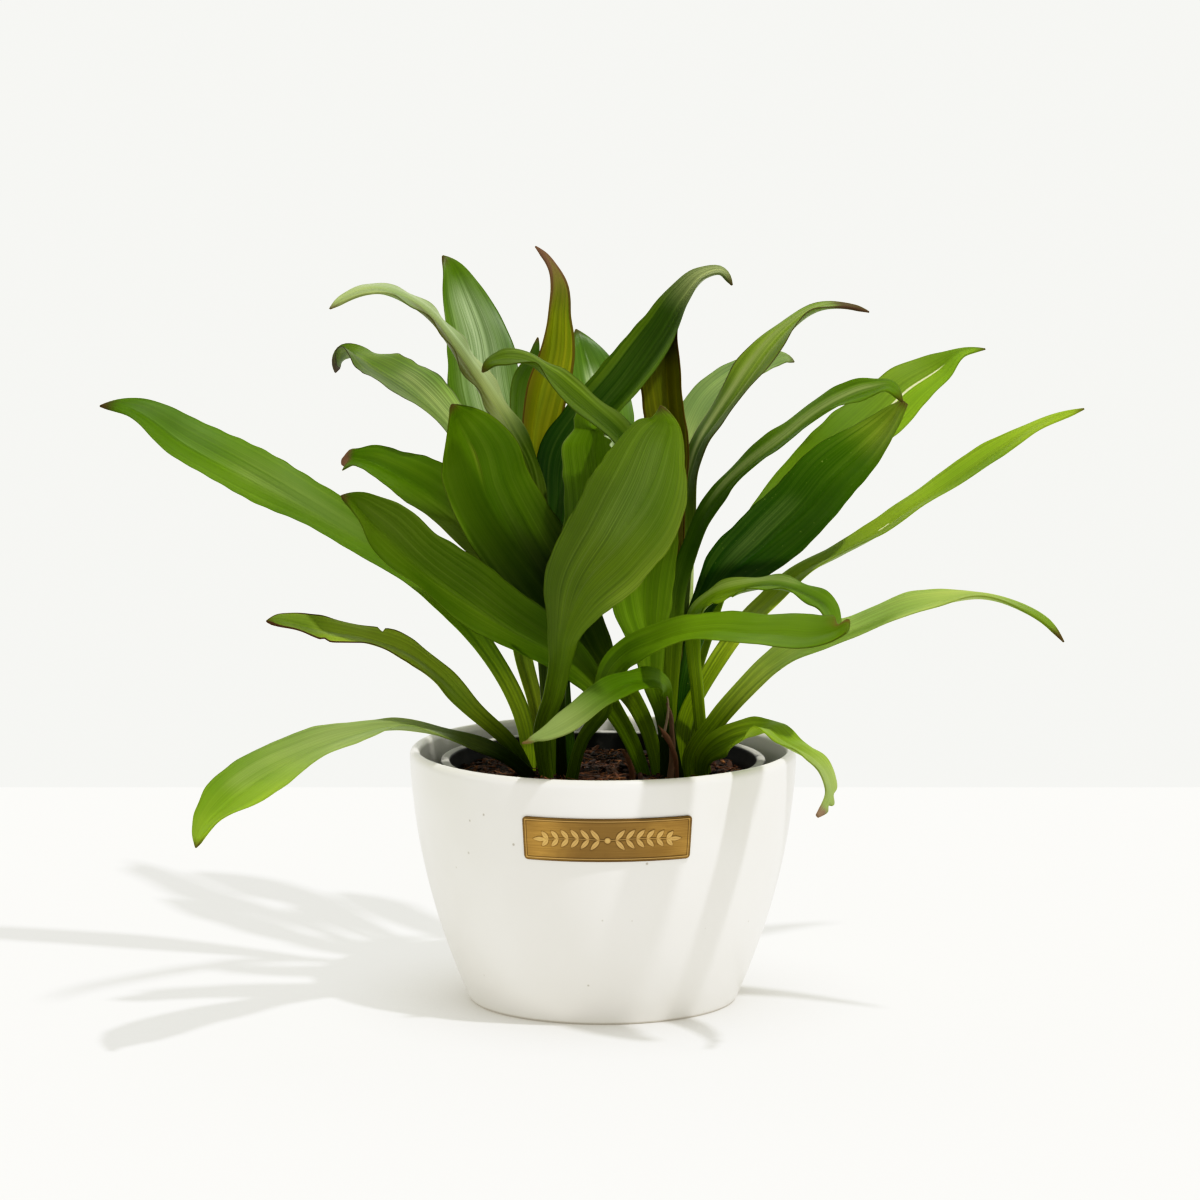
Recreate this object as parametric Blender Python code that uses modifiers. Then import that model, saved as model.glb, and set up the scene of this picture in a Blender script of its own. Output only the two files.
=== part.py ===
"""Potted ti plant: two clumps of arching strap leaves in a plastic nursery pot, standing in a tapered ceramic pot.

Run with: blender --background --python part.py
Units are metres, +Z is up, and the origin is the centre of the ceramic pot's flat underside. The front, which
carries the brass plate, faces -Y.
"""

import bmesh
import bpy
import math
import numpy as np

MM = 0.001
GAP = 0.3 * MM  # clearance between pieces that touch

# Ceramic pot
POT_HEIGHT = 117 * MM
POT_WALL = 4.8 * MM
POT_FLOOR = 6 * MM
POT_STEPS = 56
# Outer side from the lip to the foot, as height and radius in millimetres.
POT_OUTER = [
    (113, 89.0), (101, 88.2), (90, 87.0), (79, 85.5), (67, 83.3), (56, 80.8), (45, 77.9),
    (34, 74.6), (22, 70.4), (11, 66.2), (5, 63.6), (1.2, 61.9),
]
FOOT_RADIUS = 60.6 * MM

# Brass plate on the front of the ceramic pot
PLATE_WIDTH = 77 * MM
PLATE_HEIGHT = 20 * MM
PLATE_THICKNESS = 1 * MM
PLATE_CORNER = 2 * MM
PLATE_MIDDLE_Z = 90 * MM
PLATE_TURN = math.radians(1.3)  # the plate sits this far round to +X

# Nursery pot and the soil in it
LINER_RIM_RADIUS = 75 * MM
LINER_RIM_Z = 112 * MM
LINER_BASE_RADIUS = 52 * MM
LINER_WALL = 1.6 * MM
LINER_BASE_Z = POT_FLOOR + GAP
SOIL_TOP_Z = 105 * MM
SOIL_EDGE_Z = 102 * MM
SOIL_FLAT_RADIUS = 52 * MM

# Leaves
LEAF_SECTIONS = 13  # cross-sections along a leaf
LEAF_COLUMNS = 5  # points across a leaf
STALK_THICKNESS = 2.4 * MM
BLADE_THICKNESS = 0.8 * MM
STALK_HALF_WIDTH = 3.4  # mm: up to here a section has the stalk's thickness
BLADE_HALF_WIDTH = 14  # mm: from here it has the blade's

# name: (material, heading in degrees, fold in degrees, points from the soil to the tip).
# A point is x, y, z, half width in millimetres, and roll in degrees about the leaf's own line.
# The first point's z is not given: it is worked out from the soil.
LEAVES = {
    "leaf_left_01": ("leaf_bright", 165, 20, [
        (-34, -2, 3, -75), (-35, -1, 123, 4, -75), (-56, 13, 164, 5, -75), (-78, 23, 187, 8, -40),
        (-103, 32, 206, 13, -30), (-129, 41, 221, 17, -25), (-159, 48, 236, 18, -30),
        (-193, 54, 253, 16, -30), (-221, 58, 268, 7, -30), (-235, 60, 268, 0.5, -50),
    ]),
    "leaf_left_02": ("leaf_green", -150, 18, [
        (-33, -8, 3, -110), (-40, -16, 118, 3.5, -110), (-60, -32, 141, 4.5, -105),
        (-74, -41, 158, 7, -60), (-87, -49, 170, 9, -40), (-106, -57, 178, 9, -30),
        (-127, -66, 183, 8, -35), (-144, -73, 187, 5, -30), (-150, -75, 187, 0.5, -40),
    ]),
    "leaf_left_03": ("leaf_bright", -135, 15, [
        (-30, -14, 3, -105), (-46, -30, 119, 3.5, -105), (-67, -40, 129, 5, -35),
        (-91, -57, 138, 10, -5), (-115, -79, 138, 15, -5), (-131, -93, 134, 16, -5),
        (-150, -112, 126, 16.5, -15), (-164, -127, 117, 14.5, -10), (-174, -141, 107, 7, 0),
        (-177, -150, 99, 0.5, -5),
    ]),
    "leaf_left_04": ("leaf_bright", 125, 30, [
        (-28, 4, 3, -35), (-28, 13, 160, 4, -35), (-41, 26, 186, 6, -40), (-63, 57, 215, 15, -25),
        (-83, 88, 228, 17.5, -25), (-99, 108, 234, 14.5, -25), (-115, 132, 236, 9.5, -30),
        (-126, 146, 231, 2, -75),
    ]),
    "leaf_left_05": ("leaf_grey", 115, 25, [
        (-33, 10, 3, -25), (-30, 9, 126, 3.5, -25), (-37, 23, 156, 4.5, -25), (-46, 64, 204, 6, -25),
        (-62, 100, 245, 10, 10), (-78, 121, 262, 14.5, 5), (-93, 146, 271, 15.5, -10),
        (-109, 180, 276, 13.5, -10), (-124, 209, 279, 9.5, -5), (-131, 221, 274, 6.5, -75),
        (-133, 232, 265, 0.5, -140),
    ]),
    "leaf_left_06": ("leaf_grey", -130, 20, [
        (-23, -6, 3, -140), (-27, -4, 163, 3.5, -140), (-30, -8, 214, 5, -140), (-33, -9, 249, 7, -85),
        (-41, -13, 266, 8, -75), (-52, -24, 285, 9, -70), (-64, -44, 305, 8.5, -65),
        (-74, -62, 321, 7.5, -50), (-86, -81, 332, 6.5, -40), (-100, -100, 338, 5.5, -20),
        (-111, -116, 336, 3.5, -10), (-118, -130, 332, 0.5, -30),
    ]),
    "leaf_left_07": ("leaf_glossy", 110, 20, [
        (-20, 15, 3, -20), (-26, 42, 146, 4, -20), (-31, 73, 174, 5, -20), (-40, 107, 208, 11, -25),
        (-49, 135, 238, 17.5, -20), (-56, 149, 265, 20.5, 0), (-61, 164, 293, 17.5, 5),
        (-68, 173, 311, 12.5, 10), (-73, 177, 322, 7, 15), (-78, 179, 328, 0.5, 0),
    ]),
    "leaf_left_08": ("leaf_green", 100, 30, [
        (-15, 10, 3, -10), (-22, 29, 158, 3, -10), (-27, 55, 196, 4.5, -10), (-34, 80, 231, 7, 25),
        (-39, 97, 257, 8, 35), (-38, 107, 275, 7, 40), (-32, 115, 288, 3, 45),
        (-31, 120, 294, 0.5, 15),
    ]),
    "leaf_left_09": ("leaf_bronze", 120, 35, [
        (-20, 2, 3, -30), (-24, 5, 166, 3, -30), (-27, 11, 202, 5, -30), (-29, 18, 234, 10, 10),
        (-29, 22, 257, 13, 5), (-26, 23, 276, 14, 0), (-21, 24, 297, 12, 5), (-20, 23, 314, 9, 10),
        (-20, 22, 328, 6, 5), (-25, 22, 340, 3, 25), (-31, 21, 346, 0.5, -10),
    ]),
    "leaf_left_10": ("leaf_dark", 10, 25, [
        (-14, -2, 3, 80), (-19, -3, 163, 3.5, 80), (-22, 2, 194, 7, 80), (-22, 5, 226, 14, 35),
        (-19, 6, 252, 18, 30), (-7, 7, 270, 18, 30), (8, 8, 287, 17, 30), (24, 9, 308, 15, 30),
        (35, 10, 325, 12, 20), (45, 10, 335, 8, 10), (54, 11, 336, 5, 20), (59, 11, 329, 0.5, 60),
    ]),
    "leaf_left_11": ("leaf_dark", -10, 28, [
        (-19, -11, 3, 100), (-18, -22, 166, 3.5, 100), (-14, -27, 199, 8, 100), (-8, -30, 229, 14, 60),
        (-6, -30, 249, 16, 75), (-7, -27, 262, 15, 70), (-5, -22, 271, 12, 35), (1, -17, 269, 8, 40),
        (8, -15, 261, 0.5, 45),
    ]),
    "leaf_left_12": ("leaf_green", -65, 20, [
        (-25, -18, 3, 155), (-28, -27, 126, 4, 155), (-22, -46, 150, 5, 150), (-19, -58, 168, 6, 155),
        (-18, -66, 180, 9, 130), (-13, -74, 198, 17, 130), (3, -87, 224, 25, 120),
        (15, -97, 245, 26, 120), (23, -105, 267, 19, 120), (27, -112, 280, 9, 120),
        (25, -115, 288, 0.5, 125),
    ]),
    "leaf_left_13": ("leaf_bright", -50, 15, [
        (-15, -17, 3, 130), (-9, -23, 125, 3, 130), (0, -30, 140, 4, 130), (1, -35, 153, 5, 135),
        (9, -42, 166, 9, 75), (20, -54, 174, 11, 50), (34, -76, 183, 12, 35), (48, -94, 188, 13, 25),
        (62, -112, 190, 14, 20), (76, -129, 192, 14.5, 25), (90, -145, 193, 12.5, 30),
        (100, -156, 196, 8, 45), (105, -160, 198, 4, 55),
    ]),
    "leaf_right_01": ("leaf_green", -155, 28, [
        (20, -11, 3, -110), (13, -15, 122, 4, -110), (4, -22, 139, 5, -105), (-7, -30, 155, 8, -85),
        (-19, -40, 169, 14, -60), (-36, -48, 181, 18, -55), (-54, -56, 194, 20, -60),
        (-77, -64, 212, 19, -55), (-96, -72, 229, 16, -65), (-107, -76, 239, 9, -55),
        (-116, -80, 244, 0.5, -65),
    ]),
    "leaf_right_02": ("leaf_green", -160, 22, [
        (26, -9, 3, -105), (19, -7, 130, 4, -105), (12, -9, 143, 5, -100), (0, -11, 156, 9, -90),
        (-11, -15, 173, 15, -90), (-26, -20, 197, 21, -90), (-39, -24, 218, 23, -85),
        (-50, -28, 238, 23, -85), (-57, -32, 258, 20, -90), (-63, -36, 271, 12, -75),
        (-68, -39, 280, 0.5, -70),
    ]),
    "leaf_right_03": ("leaf_bright", -135, 15, [
        (35, -22, 3, -135), (31, -22, 128, 2, -135), (29, -34, 143, 2.5, -140), (27, -53, 155, 5, -75),
        (20, -68, 160, 8, -35), (10, -76, 160, 9, -15), (-2, -82, 154, 9, -10),
        (-12, -86, 147, 8, -15), (-23, -90, 140, 5, -20), (-36, -93, 135, 0.5, -25),
    ]),
    "leaf_right_04": ("leaf_green", -55, 15, [
        (47, -8, 3, 145), (43, -13, 146, 3, 145), (41, -19, 167, 3.5, 150), (41, -30, 183, 4.5, 85),
        (48, -37, 192, 8, 50), (61, -45, 198, 10, 30), (76, -57, 202, 10, 10), (90, -70, 200, 9, 0),
        (99, -81, 195, 7, 0), (102, -89, 189, 5, -15), (104, -95, 184, 0.5, 0),
    ]),
    "leaf_right_05": ("leaf_bright", -70, 18, [
        (46, -17, 3, 145), (45, -25, 114, 4, 145), (56, -42, 128, 8, 80), (66, -57, 135, 9, 35),
        (74, -69, 139, 9, 5), (80, -80, 136, 9, -15), (86, -93, 134, 8, -5), (93, -104, 131, 7, -15),
        (99, -124, 124, 5, -30), (99, -136, 118, 4, -50), (93, -150, 113, 1, -35),
    ]),
    "leaf_right_06": ("leaf_bright", -25, 15, [
        (41, -12, 3, 110), (40, -14, 112, 4, 110), (52, -20, 133, 4.5, 105), (63, -25, 147, 5.5, 70),
        (74, -29, 159, 8, 55), (90, -36, 171, 11, 35), (110, -42, 179, 12, 25),
        (121, -46, 184, 12, 30), (134, -52, 190, 11, 30), (151, -59, 195, 9, 15),
        (169, -67, 198, 7, 0), (186, -77, 194, 5, 0), (197, -84, 188, 3, 10), (204, -90, 180, 0.5, 25),
    ]),
    "leaf_right_07": ("leaf_bright", 25, 18, [
        (37, -8, 3, 65), (39, -4, 134, 4, 65), (45, -1, 145, 4, 65), (60, 8, 167, 5, 30),
        (76, 27, 181, 7, 15), (91, 34, 194, 8, 10), (109, 40, 203, 9, 0), (127, 46, 212, 10, 0),
        (143, 51, 223, 11, 0), (162, 57, 234, 11, 10), (183, 64, 247, 9, 10), (206, 70, 259, 5, 10),
        (226, 75, 265, 0.5, 40),
    ]),
    "leaf_right_08": ("leaf_dark", 25, 20, [
        (38, 0, 3, 65), (37, 2, 143, 3.5, 65), (42, 5, 166, 4.5, 65), (46, 11, 182, 8, 25),
        (56, 15, 195, 14, 35), (74, 21, 210, 18, 40), (93, 27, 227, 19, 35), (105, 32, 240, 18, 35),
        (119, 36, 252, 15, 30), (131, 40, 263, 10, 20), (140, 42, 272, 2, 25),
    ]),
    "leaf_right_09": ("leaf_green", -15, 20, [
        (30, -4, 3, 105), (31, -3, 142, 3.5, 105), (32, -5, 165, 4.5, 105), (35, -7, 196, 4.5, 105),
        (41, -8, 214, 5, 65), (46, -9, 226, 6, 50), (56, -11, 241, 9, 35), (68, -13, 253, 11, 25),
        (79, -15, 262, 12, 20), (94, -18, 274, 13, 25), (107, -22, 282, 12, 20),
        (120, -24, 286, 9, 25), (129, -26, 287, 6, 20), (135, -28, 280, 0.5, 35),
    ]),
    "leaf_right_10": ("leaf_bright", 35, 20, [
        (46, 11, 3, 55), (41, 18, 141, 3.5, 55), (46, 28, 162, 4.5, 55), (56, 41, 191, 7, 25),
        (74, 52, 211, 12, 25), (91, 65, 230, 15, 25), (111, 76, 248, 16, 30), (133, 89, 264, 16, 35),
        (145, 97, 274, 14, 35), (158, 104, 281, 10, 30), (170, 109, 288, 4, 20),
        (182, 115, 289, 0.5, 50),
    ]),
    "leaf_right_11": ("leaf_grey", 70, 22, [
        (34, 18, 3, 20), (38, 34, 161, 3.5, 20), (38, 62, 195, 5, 15), (36, 92, 229, 8, -25),
        (41, 113, 250, 12, -20), (52, 130, 266, 13.5, -5), (66, 144, 275, 11.5, 5),
        (79, 158, 279, 7, 20), (88, 165, 280, 4, 45), (93, 170, 277, 0.5, 95),
    ]),
    "leaf_right_12": ("leaf_grey", 30, 20, [
        (38, 9, 3, 60), (36, 15, 174, 3.5, 60), (38, 23, 210, 4.5, 60), (41, 29, 243, 6, 5),
        (45, 30, 256, 8, -5), (51, 34, 265, 10, 0), (60, 38, 277, 11, 5), (68, 42, 288, 12, 5),
        (77, 46, 299, 11, 5), (85, 49, 307, 10, 0), (95, 52, 314, 8, -5), (106, 56, 316, 5, 10),
        (119, 59, 314, 2, 30), (124, 60, 312, 0.5, 55),
    ]),
    "leaf_right_13": ("leaf_bronze", 105, 35, [
        (36, 4, 3, -15), (34, 7, 175, 3, -15), (32, 9, 217, 8, -50), (30, 10, 253, 13, -45),
        (27, 12, 276, 13, -40), (26, 15, 292, 13, -40), (27, 19, 305, 10, -45), (30, 22, 314, 6, -35),
        (32, 24, 321, 1, -15),
    ]),
    "leaf_right_14": ("leaf_glossy", 105, 22, [
        (27, 7, 3, -15), (29, 24, 163, 3.5, -15), (21, 47, 192, 8, 15), (10, 74, 222, 13, 5),
        (2, 102, 252, 16, 5), (-2, 119, 271, 15.5, 5), (-8, 132, 287, 9, 5), (-13, 140, 296, 0.5, 0),
    ]),
    "leaf_right_15": ("leaf_grey", -145, 20, [
        (28, 2, 3, -125), (30, 0, 167, 3.5, -125), (28, -7, 205, 5, -85), (21, -16, 238, 8, -70),
        (9, -35, 265, 10, -60), (-3, -48, 278, 11, -50), (-13, -52, 287, 11, -50),
        (-22, -53, 295, 10, -45), (-31, -52, 302, 9, -25), (-44, -53, 303, 7, -20),
        (-51, -53, 300, 4, -5), (-54, -53, 296, 0.5, -20),
    ]),
    "leaf_right_16": ("leaf_green", -90, 20, [
        (29, -15, 3, -180), (27, -16, 136, 4, -180), (23, -19, 149, 5, -175), (21, -22, 166, 8, -180),
        (18, -24, 184, 14, -180), (18, -26, 203, 16, -180), (21, -27, 221, 15, -185),
        (27, -27, 237, 8, -185), (29, -27, 248, 0.5, -180),
    ]),
}

# Linear colour, roughness, metallic
MATERIALS = {
    "ceramic": ((0.78, 0.77, 0.73), 0.35, 0.0),
    "brass": ((0.42, 0.28, 0.10), 0.38, 1.0),
    "liner": ((0.02, 0.02, 0.02), 0.45, 0.0),
    "soil": ((0.035, 0.018, 0.012), 0.95, 0.0),
    "leaf_green": ((0.075, 0.16, 0.015), 0.42, 0.0),
    "leaf_bright": ((0.16, 0.30, 0.02), 0.42, 0.0),
    "leaf_dark": ((0.02, 0.07, 0.01), 0.35, 0.0),
    "leaf_grey": ((0.14, 0.21, 0.09), 0.38, 0.0),
    "leaf_glossy": ((0.07, 0.17, 0.03), 0.25, 0.0),
    "leaf_bronze": ((0.09, 0.08, 0.012), 0.40, 0.0),
}


def clear_scene():
    for obj in list(bpy.data.objects):
        bpy.data.objects.remove(obj, do_unlink=True)


def make_material(name):
    colour, roughness, metallic = MATERIALS[name]
    material = bpy.data.materials.new(name)
    material.use_nodes = True
    shader = material.node_tree.nodes["Principled BSDF"]
    shader.inputs["Base Color"].default_value = (*colour, 1)
    shader.inputs["Roughness"].default_value = roughness
    shader.inputs["Metallic"].default_value = metallic
    return material


def add_object(name, mesh, material):
    obj = bpy.data.objects.new(name, mesh)
    mesh.materials.append(materials[material])
    parts.objects.link(obj)
    return obj


def turned(name, material, profile, steps):
    """A solid turned about Z from (radius, z) points: from the axis up the inner side, then down the outer side."""
    mesh = bpy.data.meshes.new(name)
    points = [(radius, 0, z) for radius, z in profile]
    edges = [(i, i + 1) for i in range(len(points) - 1)]
    mesh.from_pydata(points, edges, [])
    obj = add_object(name, mesh, material)
    screw = obj.modifiers.new("Turn", "SCREW")
    screw.axis = "Z"
    screw.steps = steps
    screw.render_steps = steps
    screw.use_merge_vertices = True
    screw.merge_threshold = 0.00001
    screw.use_normal_calculate = True
    return obj


def wall_radius(z):
    """Outer radius of the ceramic pot at height z."""
    heights = [height * MM for height, _ in reversed(POT_OUTER)]
    radii = [radius * MM for _, radius in reversed(POT_OUTER)]
    return float(np.interp(z, heights, radii))


def ceramic_pot():
    outer = [(radius * MM, height * MM) for height, radius in POT_OUTER]
    rim = outer[0][0]
    floor = [(0, POT_FLOOR), (wall_radius(POT_FLOOR) - POT_WALL - 3 * MM, POT_FLOOR)]
    inside = [(radius - POT_WALL, z) for radius, z in reversed(outer) if z > POT_FLOOR + 4 * MM]
    lip = [
        (rim - POT_WALL + 0.3 * MM, POT_HEIGHT - 1.5 * MM),
        (rim - POT_WALL / 2, POT_HEIGHT),
        (rim - 1.0 * MM, POT_HEIGHT - 1.2 * MM),
    ]
    foot = [(FOOT_RADIUS, 0), (0, 0)]
    return turned("ceramic_pot", "ceramic", floor + inside + lip + outer + foot, POT_STEPS)


def liner_radius(z):
    """Outer radius of the nursery pot's tapered wall at height z."""
    top = LINER_RIM_RADIUS - 2.5 * MM
    share = (z - LINER_BASE_Z) / (LINER_RIM_Z - LINER_BASE_Z)
    return LINER_BASE_RADIUS + share * (top - LINER_BASE_RADIUS)


def nursery_pot():
    lip_z = LINER_RIM_Z - 4 * MM
    profile = [
        (0, LINER_BASE_Z + LINER_WALL),
        (LINER_BASE_RADIUS - LINER_WALL, LINER_BASE_Z + LINER_WALL),
        (liner_radius(LINER_RIM_Z) - LINER_WALL, LINER_RIM_Z - 0.4 * MM),
        (LINER_RIM_RADIUS - 1.2 * MM, LINER_RIM_Z),
        (LINER_RIM_RADIUS, LINER_RIM_Z - 0.6 * MM),
        (LINER_RIM_RADIUS, lip_z),
        (liner_radius(lip_z), lip_z - 0.5 * MM),
        (LINER_BASE_RADIUS, LINER_BASE_Z),
        (0, LINER_BASE_Z),
    ]
    return turned("nursery_pot", "liner", profile, 48)


def potting_soil():
    base_z = LINER_BASE_Z + LINER_WALL + GAP
    edge = liner_radius(SOIL_EDGE_Z) - LINER_WALL - 2 * GAP
    profile = [
        (0, SOIL_TOP_Z),
        (SOIL_FLAT_RADIUS, SOIL_TOP_Z),
        (edge, SOIL_EDGE_Z),
        (LINER_BASE_RADIUS - LINER_WALL - 2 * GAP, base_z),
        (0, base_z),
    ]
    return turned("potting_soil", "soil", profile, 48)


def solidified(name, material, points, thickness, factors, offset):
    """An open sheet given as a grid of points, made solid; factors scales the thickness section by section."""
    rows, columns, _ = points.shape
    builder = bmesh.new()
    bmesh.ops.create_grid(builder, x_segments=rows - 1, y_segments=columns - 1, size=0.5)
    builder.verts.ensure_lookup_table()
    for vertex in builder.verts:
        row = round((vertex.co.x + 0.5) * (rows - 1))
        column = round((vertex.co.y + 0.5) * (columns - 1))
        vertex.index = row * columns + column
        vertex.co = points[row, column]
    order = [vertex.index for vertex in builder.verts]
    mesh = bpy.data.meshes.new(name)
    builder.to_mesh(mesh)
    builder.free()
    obj = add_object(name, mesh, material)
    group = obj.vertex_groups.new(name="thickness")
    for vertex, place in enumerate(order):
        group.add([vertex], float(factors[place // columns]), "REPLACE")
    solid = obj.modifiers.new("Thickness", "SOLIDIFY")
    solid.thickness = thickness
    solid.offset = offset
    solid.vertex_group = group.name
    mesh.shade_smooth()
    return obj


def brass_plate():
    """The plate follows the pot's wall, and its end columns are shortened to round the corners."""
    half_width, half_height = PLATE_WIDTH / 2, PLATE_HEIGHT / 2
    step = PLATE_CORNER * (1 - math.cos(math.pi / 4))
    ends = [half_width, half_width - step, half_width - PLATE_CORNER]
    inner = list(np.linspace(-half_width + PLATE_CORNER, half_width - PLATE_CORNER, 17)[1:-1])
    across = [-end for end in ends] + inner + list(reversed(ends))
    heights = []
    for along in across:
        into_corner = max(0.0, abs(along) - (half_width - PLATE_CORNER))
        drop = PLATE_CORNER - math.sqrt(max(PLATE_CORNER**2 - into_corner**2, 0))
        heights.append(half_height - drop)
    points = np.empty((len(across), 3, 3))
    for i, (along, height) in enumerate(zip(across, heights)):
        for j, share in enumerate((-1, 0, 1)):
            z = PLATE_MIDDLE_Z + share * height
            radius = wall_radius(z) + GAP
            turn = along / wall_radius(PLATE_MIDDLE_Z) + PLATE_TURN
            points[i, j] = (radius * math.sin(turn), -radius * math.cos(turn), z)
    return solidified("brass_plate", "brass", points, PLATE_THICKNESS, np.ones(len(across)), 1)


def curve_through(rows, count):
    """Rows of values at count even steps along a smooth curve through the given rows, whose first three are x, y, z.

    Each stretch is a cubic whose slopes at its ends come from the two stretches that meet there, weighted by length.
    """
    lengths = np.linalg.norm(np.diff(rows[:, :3], axis=0), axis=1)
    knots = np.concatenate([[0], np.cumsum(lengths)]) / lengths.sum()
    steps = np.diff(knots)[:, None]
    slopes = np.diff(rows, axis=0) / steps
    tangents = np.empty_like(rows)
    tangents[1:-1] = (slopes[:-1] * steps[1:] + slopes[1:] * steps[:-1]) / (steps[1:] + steps[:-1])
    tangents[0] = 1.5 * slopes[0] - 0.5 * tangents[1]
    tangents[-1] = 1.5 * slopes[-1] - 0.5 * tangents[-2]
    at = np.linspace(0, 1, count)
    i = np.clip(np.searchsorted(knots, at, side="right") - 1, 0, len(knots) - 2)
    step = steps[i]
    s = (at - knots[i])[:, None] / step
    start = (2 * s**3 - 3 * s**2 + 1) * rows[i] + (s**3 - 2 * s**2 + s) * step * tangents[i]
    end = (3 * s**2 - 2 * s**3) * rows[i + 1] + (s**3 - s**2) * step * tangents[i + 1]
    return start + end


def unit(vectors):
    return vectors / np.linalg.norm(vectors, axis=-1, keepdims=True)


def leaf_frame(middle, roll, heading):
    """Sideways and upward unit vectors along a leaf: level across its heading, then rolled about its line."""
    along = unit(np.gradient(middle, axis=0))
    level = np.array([-math.sin(heading), math.cos(heading), 0.0])
    side = unit(level - (along @ level)[:, None] * along)
    up = np.cross(along, side)
    cos, sin = np.cos(roll)[:, None], np.sin(roll)[:, None]
    return cos * side + sin * up, cos * up - sin * side


def leaf_thickness(half_width):
    """Thickness in metres of sections with these half widths in metres: thick in the stalk, thin in the blade."""
    limits = [STALK_HALF_WIDTH * MM, BLADE_HALF_WIDTH * MM]
    return np.interp(half_width, limits, [STALK_THICKNESS, BLADE_THICKNESS])


def leaf_points(heading, fold, points):
    """The leaf's middle surface as a grid: its two edges lie at the half width, and its midrib is folded below them."""
    (x, y, first_width, first_roll), rest = points[0], points[1:]
    rows = np.array([(x, y, 0, first_width, first_roll)] + rest, float)
    rows[:, :4] *= MM
    rows[:, 4] = np.radians(rows[:, 4])
    heading, fold = math.radians(heading), math.radians(fold)
    # The cut end clears the soil by the gap at its lowest corner.
    rows[0, 2] = SOIL_TOP_Z
    side, up = leaf_frame(rows[:2, :3], rows[:2, 4], heading)
    reach = abs(side[0, 2]) * rows[0, 3] + abs(up[0, 2]) * (STALK_THICKNESS / 2 + rows[0, 3] * math.sin(fold))
    rows[0, 2] += GAP + reach
    sections = curve_through(rows, LEAF_SECTIONS)
    middle, width = sections[:, :3], np.maximum(sections[:, 3], 0.4 * MM)
    side, up = leaf_frame(middle, sections[:, 4], heading)
    across = np.linspace(-1, 1, LEAF_COLUMNS)[None, :, None]
    out = across * math.cos(fold) * side[:, None]
    down = (np.abs(across) - 1) * math.sin(fold) * up[:, None]
    return middle[:, None] + width[:, None, None] * (out + down), leaf_thickness(width)


def leaf(name, material, heading, fold, points):
    grid, thickness = leaf_points(heading, fold, points)
    return solidified(name, material, grid, STALK_THICKNESS, thickness / STALK_THICKNESS, 0)


clear_scene()
parts = bpy.data.collections.new("potted_ti_plant")
bpy.context.scene.collection.children.link(parts)
materials = {name: make_material(name) for name in MATERIALS}

ceramic_pot()
brass_plate()
nursery_pot()
potting_soil()
for leaf_name, (leaf_material, leaf_heading, leaf_fold, leaf_line) in LEAVES.items():
    leaf(leaf_name, leaf_material, leaf_heading, leaf_fold, leaf_line)
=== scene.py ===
# %% [markdown]
# # A potted ti plant
# Two clumps of arching strap leaves stand in a black plastic nursery pot, which sits inside a tapered, glazed
# ceramic pot with a small brass plate on its front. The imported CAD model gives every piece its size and
# place. This lesson dresses it: each CAD node gets a fine surface worked out with numpy, and a finish made of
# shader nodes.

# %% Load the frame
import math

import bpy
import numpy as np
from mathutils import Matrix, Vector


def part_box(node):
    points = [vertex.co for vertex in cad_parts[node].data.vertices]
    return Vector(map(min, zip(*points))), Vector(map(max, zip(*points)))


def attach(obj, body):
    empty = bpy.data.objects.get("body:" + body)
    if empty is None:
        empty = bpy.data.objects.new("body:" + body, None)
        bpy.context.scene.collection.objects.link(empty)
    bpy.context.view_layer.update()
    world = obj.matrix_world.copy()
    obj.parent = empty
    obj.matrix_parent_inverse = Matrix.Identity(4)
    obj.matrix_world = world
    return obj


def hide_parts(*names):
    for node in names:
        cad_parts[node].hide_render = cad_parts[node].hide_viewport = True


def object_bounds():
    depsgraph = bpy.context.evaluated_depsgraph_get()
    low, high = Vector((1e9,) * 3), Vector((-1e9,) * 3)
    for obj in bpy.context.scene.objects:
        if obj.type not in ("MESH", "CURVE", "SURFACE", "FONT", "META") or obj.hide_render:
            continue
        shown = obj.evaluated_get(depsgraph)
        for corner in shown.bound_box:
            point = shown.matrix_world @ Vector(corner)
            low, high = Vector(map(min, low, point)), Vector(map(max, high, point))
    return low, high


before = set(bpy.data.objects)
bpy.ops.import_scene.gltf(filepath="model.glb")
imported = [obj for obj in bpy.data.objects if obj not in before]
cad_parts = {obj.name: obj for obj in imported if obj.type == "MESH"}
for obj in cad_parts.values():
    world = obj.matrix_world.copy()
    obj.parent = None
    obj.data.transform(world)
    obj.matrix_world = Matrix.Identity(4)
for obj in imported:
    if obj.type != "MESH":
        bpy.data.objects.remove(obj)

cad_box = [list(corner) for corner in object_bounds()]
MM = 0.001
print("CAD nodes:", len(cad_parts), "box:", cad_box)

# %% [markdown]
# ## From arrays to pieces
# Every piece here is a set of rings: a pot is rings about its axis, and a leaf is rings about its own line.
# One helper joins the rings with quads and closes each end, so every piece is a closed skin whose faces point
# outwards. Building the faces as whole arrays is quick, and no modifier is left on the piece.

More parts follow.
